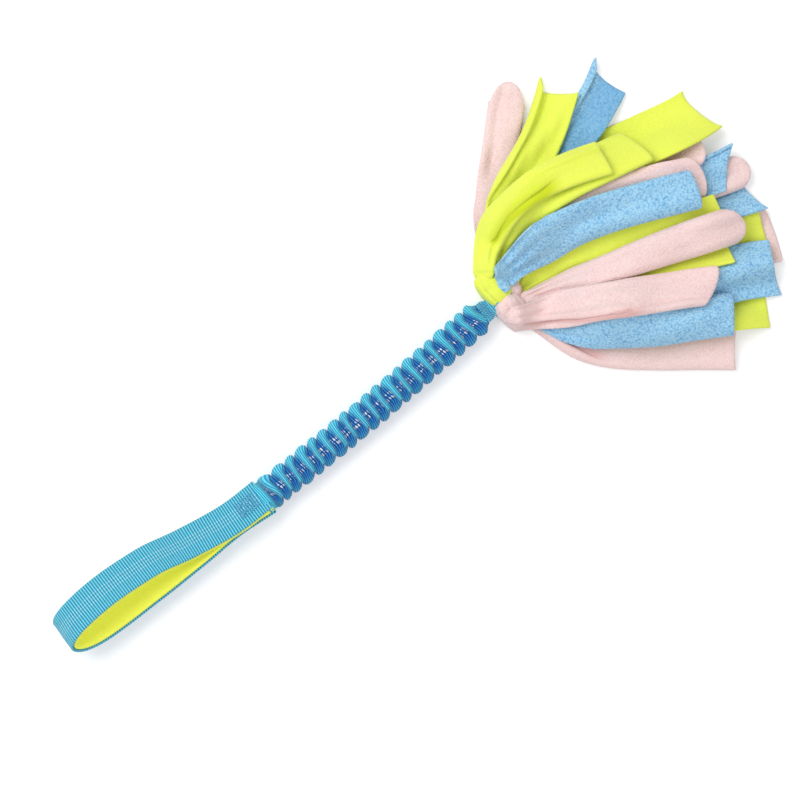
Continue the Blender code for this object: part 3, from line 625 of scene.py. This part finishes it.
def buildBungee(webbing, elastic):
    b = bungee
    stations = [(None, i / b["collarRows"]) for i in range(b["collarRows"])]
    for k in range(b["gathers"]):
        steps = range(b["perGather"] + (k == b["gathers"] - 1))
        stations += [(k, 0.5 - 0.5 * math.cos(math.pi * i / b["perGather"])) for i in steps]
    rows = len(stations) - 1
    bm = gridMesh(b["around"], rows)
    # Each point's painted light share, which the gathered webbing's colour reads
    paintedLightLayer = bm.verts.layers.float.new("depth")
    bm.verts.ensure_lookup_table()
    columns = b["around"] + 1
    for vert in bm.verts:
        angle = vert.co.x * math.tau
        k, t = stations[round((vert.co.y + 0.5) * rows)]
        vert.co, bright = collarPoint(t, angle) if k is None else sleevePoint(k, t, angle)
        vert[paintedLightLayer] = bright
    ribs = np.zeros((rows + 1, columns))
    for column in range(columns):
        marks = marksOf(np.array([bm.verts[row * columns + column].co for row in range(rows + 1)]))
        turn = (column / b["around"] - 0.5) * math.tau
        shift = 0.5 + 0.5 * ease(0.5 - 0.5 * math.sin(turn))
        phases = np.array([(t - 1.0 if k is None else k + t) - shift for k, t in stations])
        whole = np.arange(math.ceil(phases[0] - 0.5), math.floor(phases[-1] - 0.5) + 1) + 0.5
        places = np.interp(whole, phases, marks)
        inner = np.interp(marks, places, whole)
        early, late = marks < places[0], marks > places[-1]
        inner[early] -= (places[0] - marks[early]) / b["webbingPerGather"]
        inner[late] += (marks[late] - places[-1]) / b["webbingPerGather"]
        ribs[:, column] = inner * b["webbingPerGather"]
    turns = [(column / b["around"] - 0.5) * math.tau * b["webbingAround"] for column in range(columns)]
    layCloth(bm, [(turn, rib) for line in ribs for turn, rib in zip(turns, line)])
    bmesh.ops.remove_doubles(bm, verts=bm.verts[:], dist=1e-6)
    tubes = bmesh.ops.extrude_edge_only(bm, edges=rimsOf(bm))
    for vert in [item for item in tubes["geom"] if isinstance(item, bmesh.types.BMVert)]:
        centre = Vector((0.0, bungeeSide(vert.co.x), b["height"]))
        way = Vector((0.0, vert.co.y, vert.co.z)) - centre
        inner = centre + way.normalized() * (b["core"] + 0.3 * mm)
        vert.co.y, vert.co.z = inner.y, inner.z
    bmesh.ops.bridge_loops(bm, edges=rimsOf(bm))
    sleeve = finishPiece("gathered_sleeve", bm, webbing, None, "bungee_sleeve")
    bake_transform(sleeve)
    bm = gridMesh(20, 60)
    for vert in bm.verts:
        turn = vert.co.x * math.tau
        x = sleeveStart + 0.5 * mm + (vert.co.y + 0.5) * (b["length"] - 1.0 * mm)
        vert.co = (x, bungeeSide(x) + b["core"] * math.sin(turn), b["height"] + b["core"] * math.cos(turn))
    bmesh.ops.remove_doubles(bm, verts=bm.verts[:], dist=1e-6)
    bmesh.ops.holes_fill(bm, edges=rimsOf(bm), sides=0)
    core = finishPiece("elastic_core", bm, elastic, None, "bungee_core")
    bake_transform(core)
    print("bungee", b["gathers"], "gathers")


# End loop: the webbing goes round the folded strips and is sewn to itself
endLoop = dict(start=sleeveEnd - 1.5 * mm, width=13.6 * mm, strand=1.7 * mm, eyeRadius=6.3 * mm,
               eyeWidth=8.4 * mm, rise=1.15 * mm, rows=150, mouth=5.0 * mm, pucker=0.35 * mm, rib=0.06 * mm)
# Stitches: how far they reach along the tab, rows of (stitches, lean in mm), then the frayed ends
tabStitch = dict(radius=0.24 * mm, near=1.6 * mm, far=9.4 * mm, narrowFrom=6.0 * mm, margin=0.4 * mm,
                 layers=((9, 0.8), (9, -0.8), (5, 0.0)), step=0.4 * mm, frays=9)
eye = Vector((183.48 * mm, 0.0, 10.0 * mm))


def endLoopPath():
    e = endLoop
    radius = e["eyeRadius"] + 0.5 * e["strand"]
    top = [(e["start"], eye.z + 2.4 * mm), (e["start"] + 3.0 * mm, eye.z + e["rise"] + 0.25 * mm),
           (e["start"] + 7.0 * mm, eye.z + e["rise"])]
    reach = math.pi - math.asin((e["rise"] + 0.4 * mm) / radius) - 0.25
    centre = np.array([eye.x, eye.z])
    ring = [tuple(centre + radius * heading(angle)) for angle in np.linspace(reach, -reach, 12)]
    bottom = [(x, 2.0 * eye.z - z) for x, z in reversed(top)]
    return spacedPath(catmullRom(top + ring + bottom, 600), e["rows"] + 1)


def buildEndLoop(webbing, thread):
    e = endLoop
    path, marks = endLoopPath()
    bm = gridMesh(18, e["rows"])
    cloth = []
    for vert in bm.verts:
        share = vert.co.x
        row = round((vert.co.y + 0.5) * e["rows"])
        x, z = path[row]
        width = mix(e["width"], e["eyeWidth"], ease((x - e["start"]) / e["mouth"] - 1.0))
        flat = ease((x - e["start"]) / e["mouth"])
        pucker = e["pucker"] * math.cos(math.tau * 3.0 * share) * (1.0 - flat)
        ribs = e["rib"] * math.sin(math.tau * marks[row] / weave["ribPitch"])
        vert.co = (x, share * width, z + pucker * math.copysign(1.0, z - eye.z) + ribs)
        cloth.append((share * width * 1.2 + 9.0 * mm, marks[row]))     # clear of the reflective threads
    layCloth(bm, cloth)
    strap = finishPiece("end_strap", bm, webbing, "end_loop", "end_loop")
    thicken(strap, e["strand"])

    t = tabStitch
    runs = []
    top = eye.z + e["rise"] + 0.5 * e["strand"]
    for level, (count, lean) in enumerate(t["layers"]):
        run = []
        for i in range(count + 1):
            across = (i / count - 0.5) * (e["width"] - 4.0 * t["margin"])
            ends = [(t["near"], across), (t["far"], 0.7 * across + lean * mm)]
            run += ends if i % 2 else ends[::-1]
        dense = []
        for a, b in zip(run, run[1:]):
            steps = max(int(math.hypot(b[0] - a[0], b[1] - a[1]) / t["step"]), 2)
            for s in range(steps):
                x, y = mix(a[0], b[0], s / steps), mix(a[1], b[1], s / steps)
                edge = 0.5 * e["width"] - t["margin"] - 0.4 * max(x - t["narrowFrom"], 0.0)
                y = clamp(y, -edge, edge)
                dip = 0.22 * mm * math.sin(s * 1.7 + level)
                slope = 0.9 * mm * (1.0 - ease(x / (3.5 * mm)))
                dense.append(Vector((e["start"] + x, y, top + 0.12 * mm + slope + dip + 0.1 * mm * level)))
        runs.append(dense)
    for i in range(t["frays"]):
        base = Vector((e["start"] + (7.2 + 0.35 * i) * mm, 0.9 * mm - 0.5 * e["width"],
                       top - 0.3 * mm * (i % 4)))
        way = Vector((0.45 + 0.2 * math.sin(2.1 * i), -1.0, 0.15 * math.cos(1.7 * i))).normalized()
        bend = Vector((0.5 * math.cos(3.3 * i), 0.1, -0.4 + 0.2 * math.sin(i)))
        length = (1.6 + 0.9 * math.sin(1.9 * i)) * mm
        runs.append([base + way * (length * s / 5) + bend * (length * (s / 5) ** 2) for s in range(6)])
    threadPiece("tab_threads", runs, t["radius"], thread, "end_loop", "tab_stitching")
    print("end loop", round(float(marks[-1]) / mm), "mm of webbing")


# Folded middles of the strips, crushed in the eye, in mm from the eye. inner is the reach towards the strap,
# with the sign of the side that bulges; a crease has a turn, a width and a depth.
bulbs = [
    dict(name="yellow_fold", node="yellow_bight", cloth="fleece_yellow", centre=(0.2, 9.3, 0.0),
         size=(9.3, 10.5, 10.2), inner=13.6, seed=3.0, crease=(0.9, 0.35, 0.7)),
    dict(name="pink_fold", node="pink_bight", cloth="fleece_pink", centre=(0.4, -10.5, 0.1),
         size=(9.3, 10.7, 10.0), inner=-11.6, seed=8.0, crease=(-0.6, 0.3, 0.6)),
    dict(name="crushed_middles", node="strip_bundle", cloth="fleece_pink", centre=(5.4, 0.4, -3.2),
         size=(8.8, 6.8, 6.6), inner=0.0, seed=12.0, crease=(0.2, 0.5, 0.6)),
]
bulbForm = dict(blunt=3.0, crease=0.075, lump=0.055, lumpGrain=2.1, wrinkle=0.020, wrinkleGrain=5.5)


def buildBulb(spec, material):
    bm = bmesh.new()
    bmesh.ops.create_icosphere(bm, subdivisions=5, radius=1.0)
    size = Vector(spec["size"]) * mm
    form = bulbForm
    turn, wide, deep = spec["crease"]
    for vert in bm.verts:
        way = vert.co.normalized()
        length = math.hypot(way.x, way.z) ** form["blunt"] + abs(way.y) ** form["blunt"]
        blunt = way / length ** (1.0 / form["blunt"])
        side = way.x * math.cos(turn) + way.z * math.sin(turn)
        push = -form["crease"] * deep * math.exp(-((side - 0.25) / (0.16 * wide + 0.03)) ** 2)
        push += form["lump"] * noise.noise(way * form["lumpGrain"] + Vector((spec["seed"], 0.0, 0.0)))
        push += form["wrinkle"] * noise.noise(way * form["wrinkleGrain"] + Vector((spec["seed"], 5.0, 0.0)))
        scaled = blunt * size * (1.0 + push)
        if way.y * spec["inner"] < 0.0:
            scaled.y *= abs(spec["inner"]) * mm / size.y
        vert.co = eye + Vector(spec["centre"]) * mm + scaled
        vert.co.z = max(vert.co.z, 0.1 * mm)
    piece = finishPiece(spec["name"], bm, material, "tassel", spec["node"])


# The blue fold that crosses the knot, round the eye between two angles, narrower at both ends
crossing = dict(angles=(34.0, 76.0), inner=9.6 * mm, thickness=1.8 * mm, start=0.4 * mm, length=10.5 * mm,
                width=10.0 * mm, near=0.62, far=0.55, swell=0.35 * mm)


def buildCrossing(material):
    bm = gridMesh(20, 20)
    cloth = []
    low, high = (math.radians(angle) for angle in crossing["angles"])
    radius = crossing["inner"] + 0.5 * crossing["thickness"]
    for vert in bm.verts:
        u, v = vert.co.x + 0.5, vert.co.y
        spread = mix(crossing["near"], 1.0, ease(2.0 * u)) - (1.0 - crossing["far"]) * ease(2.0 * u - 1.0)
        angle = 0.5 * (low + high) + v * (high - low) * spread
        swell = crossing["swell"] * math.cos(math.tau * 1.5 * v) * (1.0 - u)
        out = Vector((math.cos(angle), 0.0, math.sin(angle)))
        run = u * crossing["length"]
        vert.co = eye + out * (radius + swell) + Vector((0.0, crossing["start"] + run, 0.0))
        cloth.append((run, v * radius))
    layCloth(bm, cloth)
    piece = finishPiece("blue_fold", bm, material, "upper_sheaf", "blue_bight")
    thicken(piece, crossing["thickness"])


# Tassel: 22 tails of fleece, laid on each other, lowest first
strip = dict(tasselReach=173.0 * mm, width=40.0 * mm, thickness=2.2 * mm, curlShare=0.36,
             rollFlatness=0.46, gatherRun=62.0 * mm, rootThickness=1.1 * mm, rootFan=84.0,
             rootSquareness=0.55, grading=1.5, pull=0.36, ovalAhead=10.0 * mm, ovalAside=18.9 * mm,
             cadRows=11, rows=60, columns=34, pleat=0.95 * mm, wave=0.75 * mm, ripple=0.30 * mm,
             fray=0.5 * mm, tuckRows=5)
# In degrees and mm. As packed: bearing and reach of the tip from the eye, the way it ends, the roll of both
# edges, the cut's slant, and the root. Finished only: trim, bow, short, spur and slide shape the end, late
# and pinch open and narrow the edges, calm smooths the lift, tuck is the root's reach back, drop and
# narrowing, lee is painted shade on the right half, and folds run lengthwise, with painted shade in them.
plainTail = dict(rootWidth=7.0, cut=0.0, trim=0.0, bow=0.0, short=0.0, spur=0.0, slide=0.0, late=(1.0, 1.0),
                 pinch=(0.0, 0.0), calm=1, tuck=(6.0, 5.0, 0.45), lee=0.0, folds=(), body="tassel")
tails = [
    dict(key="pink_right", bearing=-51.4, reach=0.844, end=-42, left=60, right=-150, rootBearing=-68,
         bow=-1.5, folds=[dict(spot=-0.22, lap=1.4, rise=-2.4, start=0, end=60, inside=0.12, deep=1.6)]),
    dict(key="yellow_right", bearing=-40.5, reach=0.94, end=-39, left=20, right=40, cut=6, late=(1.0, 1.7),
         pinch=(0.0, 0.12)),
    dict(key="pink_low", bearing=-27, reach=1.0, end=-32, left=70, right=80, cut=10, bow=2),
    dict(key="yellow_low", bearing=-26, reach=0.96, end=-29, left=25, right=25, cut=4),
    dict(key="blue_wide", bearing=-34.5, reach=0.971, end=-36, left=25, right=15, cut=8, bow=-1.5,
         pinch=(0.0, 0.25)),
    dict(key="blue_right", bearing=-44.5, reach=0.821, end=-37, left=-120, right=-100, cut=-2,
         late=(1.0, 1.7), pinch=(0.0, 0.15)),
    dict(key="yellow_inner", bearing=-23.6, reach=0.812, end=-27, left=30, right=30, cut=10),
    dict(key="blue_middle", bearing=-14.6, reach=0.945, end=-21, left=20, right=30, cut=18, bow=-5),
    dict(key="pink_tip", bearing=-12, reach=0.994, end=-14, left=-160, right=-160, bow=9,
         pinch=(0.1, 0.1)),
    dict(key="blue_tip", bearing=-7, reach=0.931, end=-8, left=110, right=100, cut=-10, slide=-6,
         pinch=(0.4, 0.0), trim=-26),
    dict(key="pink_under", bearing=-1.5, reach=0.896, end=0, left=-140, right=-140, bow=8),
    dict(key="yellow_wide", bearing=3.5, reach=0.971, end=-6, left=20, right=25, cut=25, bow=-5,
         pinch=(0.22, 0.15), trim=-14, short=2.0, body="upper_sheaf"),
    dict(key="pink_upper", bearing=-9.5, reach=0.832, end=-23, left=-95, right=-95, bow=9,
         body="upper_sheaf"),
    dict(key="yellow_middle", bearing=-19, reach=0.832, end=-22, left=-50, right=-60, cut=6,
         pinch=(0.3, 0.0), late=(0.3, 1.0), tuck=(11.0, 3.0, 0.3), body="upper_sheaf"),
    dict(key="pink_middle", bearing=-22.5, reach=0.896, end=-20, left=-170, right=-170, cut=8, bow=10,
         late=(1.9, 1.0), body="pink_sheaf"),
    dict(key="pink_top", bearing=-37, reach=0.769, end=-33, left=-110, right=-180, cut=10,
         root=(-3.0, -14.8), rootBearing=-30, rootWidth=14.5, bow=3, trim=-32, pinch=(0.0, 0.15),
         late=(1.0, 1.3), short=2.5, tuck=(4.5, 5.0, 0.55), body="pink_top",
         folds=[dict(spot=-0.17, lap=1.7, rise=2.4, start=-6, end=85, inside=0.08, deep=1.8)]),
    dict(key="pink_left", bearing=48, reach=0.74, end=44, left=-180, right=-170, rootBearing=46,
         bow=15, calm=8, tuck=(2.5, 3.0, 0.3), short=-4.5, body="left_sheaf"),
    dict(key="blue_left", bearing=24.5, reach=0.855, end=29, left=190, right=15, cut=-14, rootBearing=48,
         tuck=(2.5, 3.0, 0.3), spur=6, bow=-2, pinch=(0.3, 0.0), lee=0.6, body="left_sheaf"),
    dict(key="yellow_left", bearing=35.5, reach=0.734, end=36, left=180, right=40, cut=-6, rootBearing=44,
         tuck=(2.5, 3.0, 0.3), spur=8, bow=-3, short=-2.5, trim=14, pinch=(0.3, 0.0), body="left_sheaf"),
    dict(key="yellow_back", bearing=8, reach=0.723, end=-12, left=-170, right=-110, cut=22, bow=2,
         root=(9.0, 15.0), rootBearing=50, rootWidth=9.5, tuck=(2.5, 3.0, 0.3), body="left_sheaf"),
    dict(key="yellow_top", bearing=13.5, reach=0.607, end=-24, left=-180, right=-170, cut=10,
         root=(1.5, 18.6), rootBearing=50, rootWidth=13.0, late=(1.0, 1.8), body="yellow_top",
         folds=[dict(spot=-0.04, lap=2.2, rise=3.4, start=16, end=80, inside=0.16, deep=2.0)]),
    dict(key="blue_top", bearing=-11, reach=0.786, end=-25, left=-150, right=-140, cut=4, bow=1.5,
         root=(9.3, 9.0), rootBearing=8, rootWidth=16.0, tuck=(4.6, 3.6, 0.6), body="blue_top"),
]
tails = [{**plainTail, **tail} for tail in tails]


def tailRoot(tail):
    if "root" in tail:
        return np.array(tail["root"]) * mm, math.radians(tail["rootBearing"])
    bearings = sorted(other["bearing"] for other in tails if "root" not in other)
    rank = bearings.index(tail["bearing"])
    around = math.radians(strip["rootFan"] * (2.0 * rank / (len(bearings) - 1) - 1.0))
    ahead, aside = (signedPower(value, strip["rootSquareness"]) for value in heading(around))
    bearing = math.radians(tail["rootBearing"]) if "rootBearing" in tail else around
    return np.array([strip["ovalAhead"] * ahead, strip["ovalAside"] * aside]), bearing


def tailRoute(tail, count):
    root, bearing = tailRoot(tail)
    tip = tail["reach"] * strip["tasselReach"] * heading(math.radians(tail["bearing"]))
    pull = strip["pull"] * np.linalg.norm(tip - root)
    first, last = root + pull * heading(bearing), tip - pull * heading(math.radians(tail["end"]))
    t = np.linspace(0.0, 1.0, 200)[:, None]
    curve = np.array(eye[:2]) + ((1 - t) ** 3 * root + 3 * (1 - t) ** 2 * t * first
                                 + 3 * (1 - t) * t ** 2 * last + t ** 3 * tip)
    points, places = spacedPath(curve, count, strip["grading"])
    ahead = np.gradient(points, places, axis=0)
    ahead /= np.linalg.norm(ahead, axis=1)[:, None]
    return points, ahead, places


# Sideways place and height of points across a strip whose edges roll; spots are shares of its width
def rolledSection(width, left, right, spots):
    flat = (0.5 - strip["curlShare"]) * width
    angle = np.where(spots > 0.0, left, right)
    reach = np.abs(spots) * width - flat
    rolled = (reach > 0.0) & (np.abs(angle) >= 0.01)
    radius = strip["curlShare"] * width / np.maximum(np.abs(angle), 0.01)
    across = np.sign(spots) * (flat + radius * np.sin(reach / radius))
    height = np.sign(angle) * strip["rollFlatness"] * radius * (1.0 - np.cos(reach / radius))
    return np.where(rolled, across, spots * width), np.where(rolled, height, 0.0)


cadSpots = np.array([-0.5, -0.38, -0.26, -0.14, 0.0, 0.14, 0.26, 0.38, 0.5])
knots = np.linspace(-1.0, 1.0, 25)      # sideways shares at which the lift is kept
liftSteps = 10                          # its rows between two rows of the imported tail
seek = dict(around=1.6 * mm, match=0.03 * mm)
spur = dict(middle=0.34, half=0.22)


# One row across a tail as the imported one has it, or with the shape of its cut end when finished
def tailRow(tail, point, way, place, length, spots, finished=False):
    rootWidth = tail["rootWidth"] * mm
    far = place / length
    full = ease(place / strip["gatherRun"])
    width = mix(rootWidth, strip["width"], full)
    thickness = mix(strip["rootThickness"], strip["thickness"], full)
    curl = ease((place / strip["gatherRun"] - 0.15) / 0.85)
    left, right = curl * math.radians(tail["left"]), curl * math.radians(tail["right"])
    known, knownHeight = rolledSection(width, left, right, cadSpots)
    across, height = rolledSection(width, left, right, spots)
    middle = 0.5 * (known.max() + known.min())
    reach = known.max() - middle
    across = across - middle
    height = height - knownHeight.min()
    slip = -across * math.tan(math.radians(tail["cut"])) * far ** 4
    if finished:
        rounded = 1.0 - np.sqrt(1.0 - np.clip(across / reach, -1.0, 1.0) ** 2 * 0.98)
        slip -= tail["bow"] * mm * rounded * far ** 8
        slip -= across * math.tan(math.radians(tail["trim"])) * far ** 6
        slip -= tail["short"] * mm * far ** 4
        pointed = np.clip(1.0 - np.abs(spots - spur["middle"]) / spur["half"], 0.0, 1.0)
        slip += tail["spur"] * mm * pointed * far ** 8
        for side, late, pinch in zip((1.0, -1.0), tail["late"], tail["pinch"]):
            opened = mix(rootWidth, strip["width"], ease(place / (late * strip["gatherRun"])))
            narrow = opened / width * (1.0 - pinch * ease((far - 0.15) / 0.6))
            across = np.where(across * side > 0.0, across * narrow, across)
        across = across + tail["slide"] * mm * far ** 2
    aside = np.array([-way[1], way[0]])
    plan = point + across[:, None] * aside + slip[:, None] * way
    return plan, height + 0.5 * thickness, across / reach, thickness, full, aside


# How far the pile lifted each row of a tail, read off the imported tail
def liftsOf(tail):
    points, ahead, places = tailRoute(tail, strip["cadRows"])
    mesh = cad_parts["tail_" + tail["key"]].data
    corners = np.unique(np.round(np.array([vert.co for vert in mesh.vertices]), 7), axis=0)
    lifts, shares = [], []
    for row in range(strip["cadRows"]):
        plan, height, share, thickness, _, _ = tailRow(tail, points[row], ahead[row], places[row], places[-1],
                                                       cadSpots)
        line = []
        for spot in range(len(cadSpots)):
            near = corners[np.hypot(*(corners[:, :2] - plan[spot]).T) < seek["around"]]
            best = None
            for i in range(len(near)):
                pair = near[i + 1:]
                apart = np.abs(np.linalg.norm(pair - near[i], axis=1) - thickness)
                off = np.hypot(*(0.5 * (pair + near[i])[:, :2] - plan[spot]).T) + apart
                if len(off) and (best is None or off.min() < best[0]):
                    best = (off.min(), 0.5 * (pair[off.argmin()][2] + near[i][2]))
            line.append(best[1] - height[spot] if best and best[0] < seek["match"] else np.nan)
        lifts.append(line)
        shares.append(share)
    lifts = np.array(lifts)
    missing = int(np.isnan(lifts).sum())
    for line in (*lifts, *lifts.T):         # gaps within a row first, then whole rows
        known = ~np.isnan(line)
        if known.any():
            line[~known] = np.interp(np.flatnonzero(~known), np.flatnonzero(known), line[known])
    return lifts, shares, missing


# Height lift at every row of the finished strip, by its sideways share
def liftField(tail):
    lifts, shares, missing = liftsOf(tail)
    field = np.array([np.interp(knots, np.sort(share), line[np.argsort(share)])
                      for line, share in zip(lifts, shares)])
    for _ in range(tail["calm"]):
        soft = 0.25 * np.roll(field, 1, axis=1) + 0.5 * field + 0.25 * np.roll(field, -1, axis=1)
        field[:, 1:-1] = soft[:, 1:-1]
    return catmullRom(field, liftSteps * (strip["cadRows"] - 1) + 1), missing


# Lengths over which a fold begins and ends, and in shares of the width its half width and its run-out
foldForm = dict(onset=8.0 * mm, release=20.0 * mm, half=0.08, runOut=0.14)


# Sideways shift, rise and painted shade where a strip is folded on itself lengthwise: a fold's last two
# values give the width and the strength of its painted shade
def foldOf(tail, spot, place):
    shift, rise, shade = 0.0, 0.0, 0.0
    half = foldForm["half"]
    for fold in tail["folds"]:
        on = ease((place - fold["start"] * mm) / foldForm["onset"])
        on *= ease((fold["end"] * mm - place) / foldForm["release"])
        way = math.copysign(1.0, fold["rise"])
        at = way * (spot - fold["spot"])
        turn = clamp(at / half, -1.0, 1.0)
        runOut = math.exp(-max(at - half, 0.0) / foldForm["runOut"])
        shift -= way * fold["lap"] * mm * math.sin(math.pi * turn) * on
        rise += abs(fold["rise"]) * mm * ease(0.5 + 0.5 * turn) * runOut * on
        shade += on * fold["deep"] * math.exp(-((at + 0.6 * fold["inside"]) / fold["inside"]) ** 2)
    return shift, rise, shade


def stripPiece(tail, order, materials):
    cloth = "fleece_" + tail["key"].split("_")[0]
    dense, missing = liftField(tail)
    rows, columns, tuck = strip["rows"], strip["columns"], strip["tuckRows"]
    tuckBack, tuckDrop, tuckIn = tail["tuck"][0] * mm, tail["tuck"][1] * mm, tail["tuck"][2]
    points, ahead, places = tailRoute(tail, rows + 1)
    spots = np.linspace(-0.5, 0.5, columns + 1)
    bm = gridMesh(columns, rows + tuck)
    # Painted shade for each point, which the fleece finish reads
    insideLayer = bm.verts.layers.float.new("inside")
    bm.verts.ensure_lookup_table()
    cloths, fulls = [], []
    seed = 7.3 * order
    for line in range(rows + tuck + 1):
        row = max(line - tuck, 0)
        plan, height, share, thickness, full, aside = tailRow(tail, points[row], ahead[row], places[row],
                                                              places[-1], spots, True)
        at = row / rows * liftSteps * (strip["cadRows"] - 1)
        low = min(int(at), len(dense) - 2)
        lift = np.interp(share, knots, mix(dense[low], dense[low + 1], at - low))
        place = places[row]
        gathered = (1.0 - full) * ease(place / (10.0 * mm))
        back = max(tuck - line, 0) / tuck
        centre = plan.mean(axis=0)
        for column, s in enumerate(spots):
            wave = lumps(s * 2.3, place * 26.0, seed) * strip["wave"] * ease(place / (30.0 * mm))
            wave += lumps(s * 5.5, place * 75.0, seed + 3.0) * strip["ripple"] * full
            pleat = strip["pleat"] * math.cos(math.tau * 3.0 * s + order) * gathered
            edge = lumps(math.copysign(3.0, s), place * 60.0, seed) * strip["fray"]
            edge *= max(abs(s) * 4.0 - 1.0, 0.0) * full
            shift, rise, shade = foldOf(tail, s, place)
            spot = plan[column] + aside * (edge + shift)
            spot = centre + (spot - centre) * (1.0 - tuckIn * back) - ahead[row] * tuckBack * back
            vert = bm.verts[line * (columns + 1) + column]
            z = height[column] + lift[column] + wave + pleat + rise - tuckDrop * back * back
            vert.co = (*spot, max(z, 0.5 * thickness + 0.05 * mm))
            # Painted shade from the folds and from the lee on the right half
            vert[insideLayer] = shade + tail["lee"] * ease((0.03 - s) / 0.06) * full
            cloths.append((s * strip["width"], place - tuckBack * back))
            fulls.append(full)
    layCloth(bm, cloths)
    piece = finishPiece("strip_" + tail["key"], bm, materials[cloth], tail["body"],
                        "tail_" + tail["key"])
    group = piece.vertex_groups.new(name="fullness")
    for index, full in enumerate(fulls):
        group.add([index], full, "REPLACE")
    thicken(piece, strip["thickness"], group.name, strip["rootThickness"] / strip["thickness"])
    return missing


def buildTassel(materials):
    for spec in bulbs:
        buildBulb(spec, materials[spec["cloth"]])
    buildCrossing(materials["fleece_blue"])
    unread = [stripPiece(tail, order, materials) for order, tail in enumerate(tails)]
    print("tassel", len(tails), "tails, points not read off the packed ones:", unread)


placeCamera()
areaLamp("key")
areaLamp("fill")
layFloor()
scene.view_settings.view_transform = "Standard"
cloths = {name: fleeceFinish(name) for name in fleeceLooks}
thread = bandFinish("stitching_thread")
buildHandLoop(webbingFinish("ribbed_webbing", False), cloths["lining_yellow"], thread)
buildBungee(webbingFinish("gathered_webbing", True), bandFinish("braided_elastic"))
buildEndLoop(webbingFinish("strap_webbing", False), thread)
buildTassel(cloths)
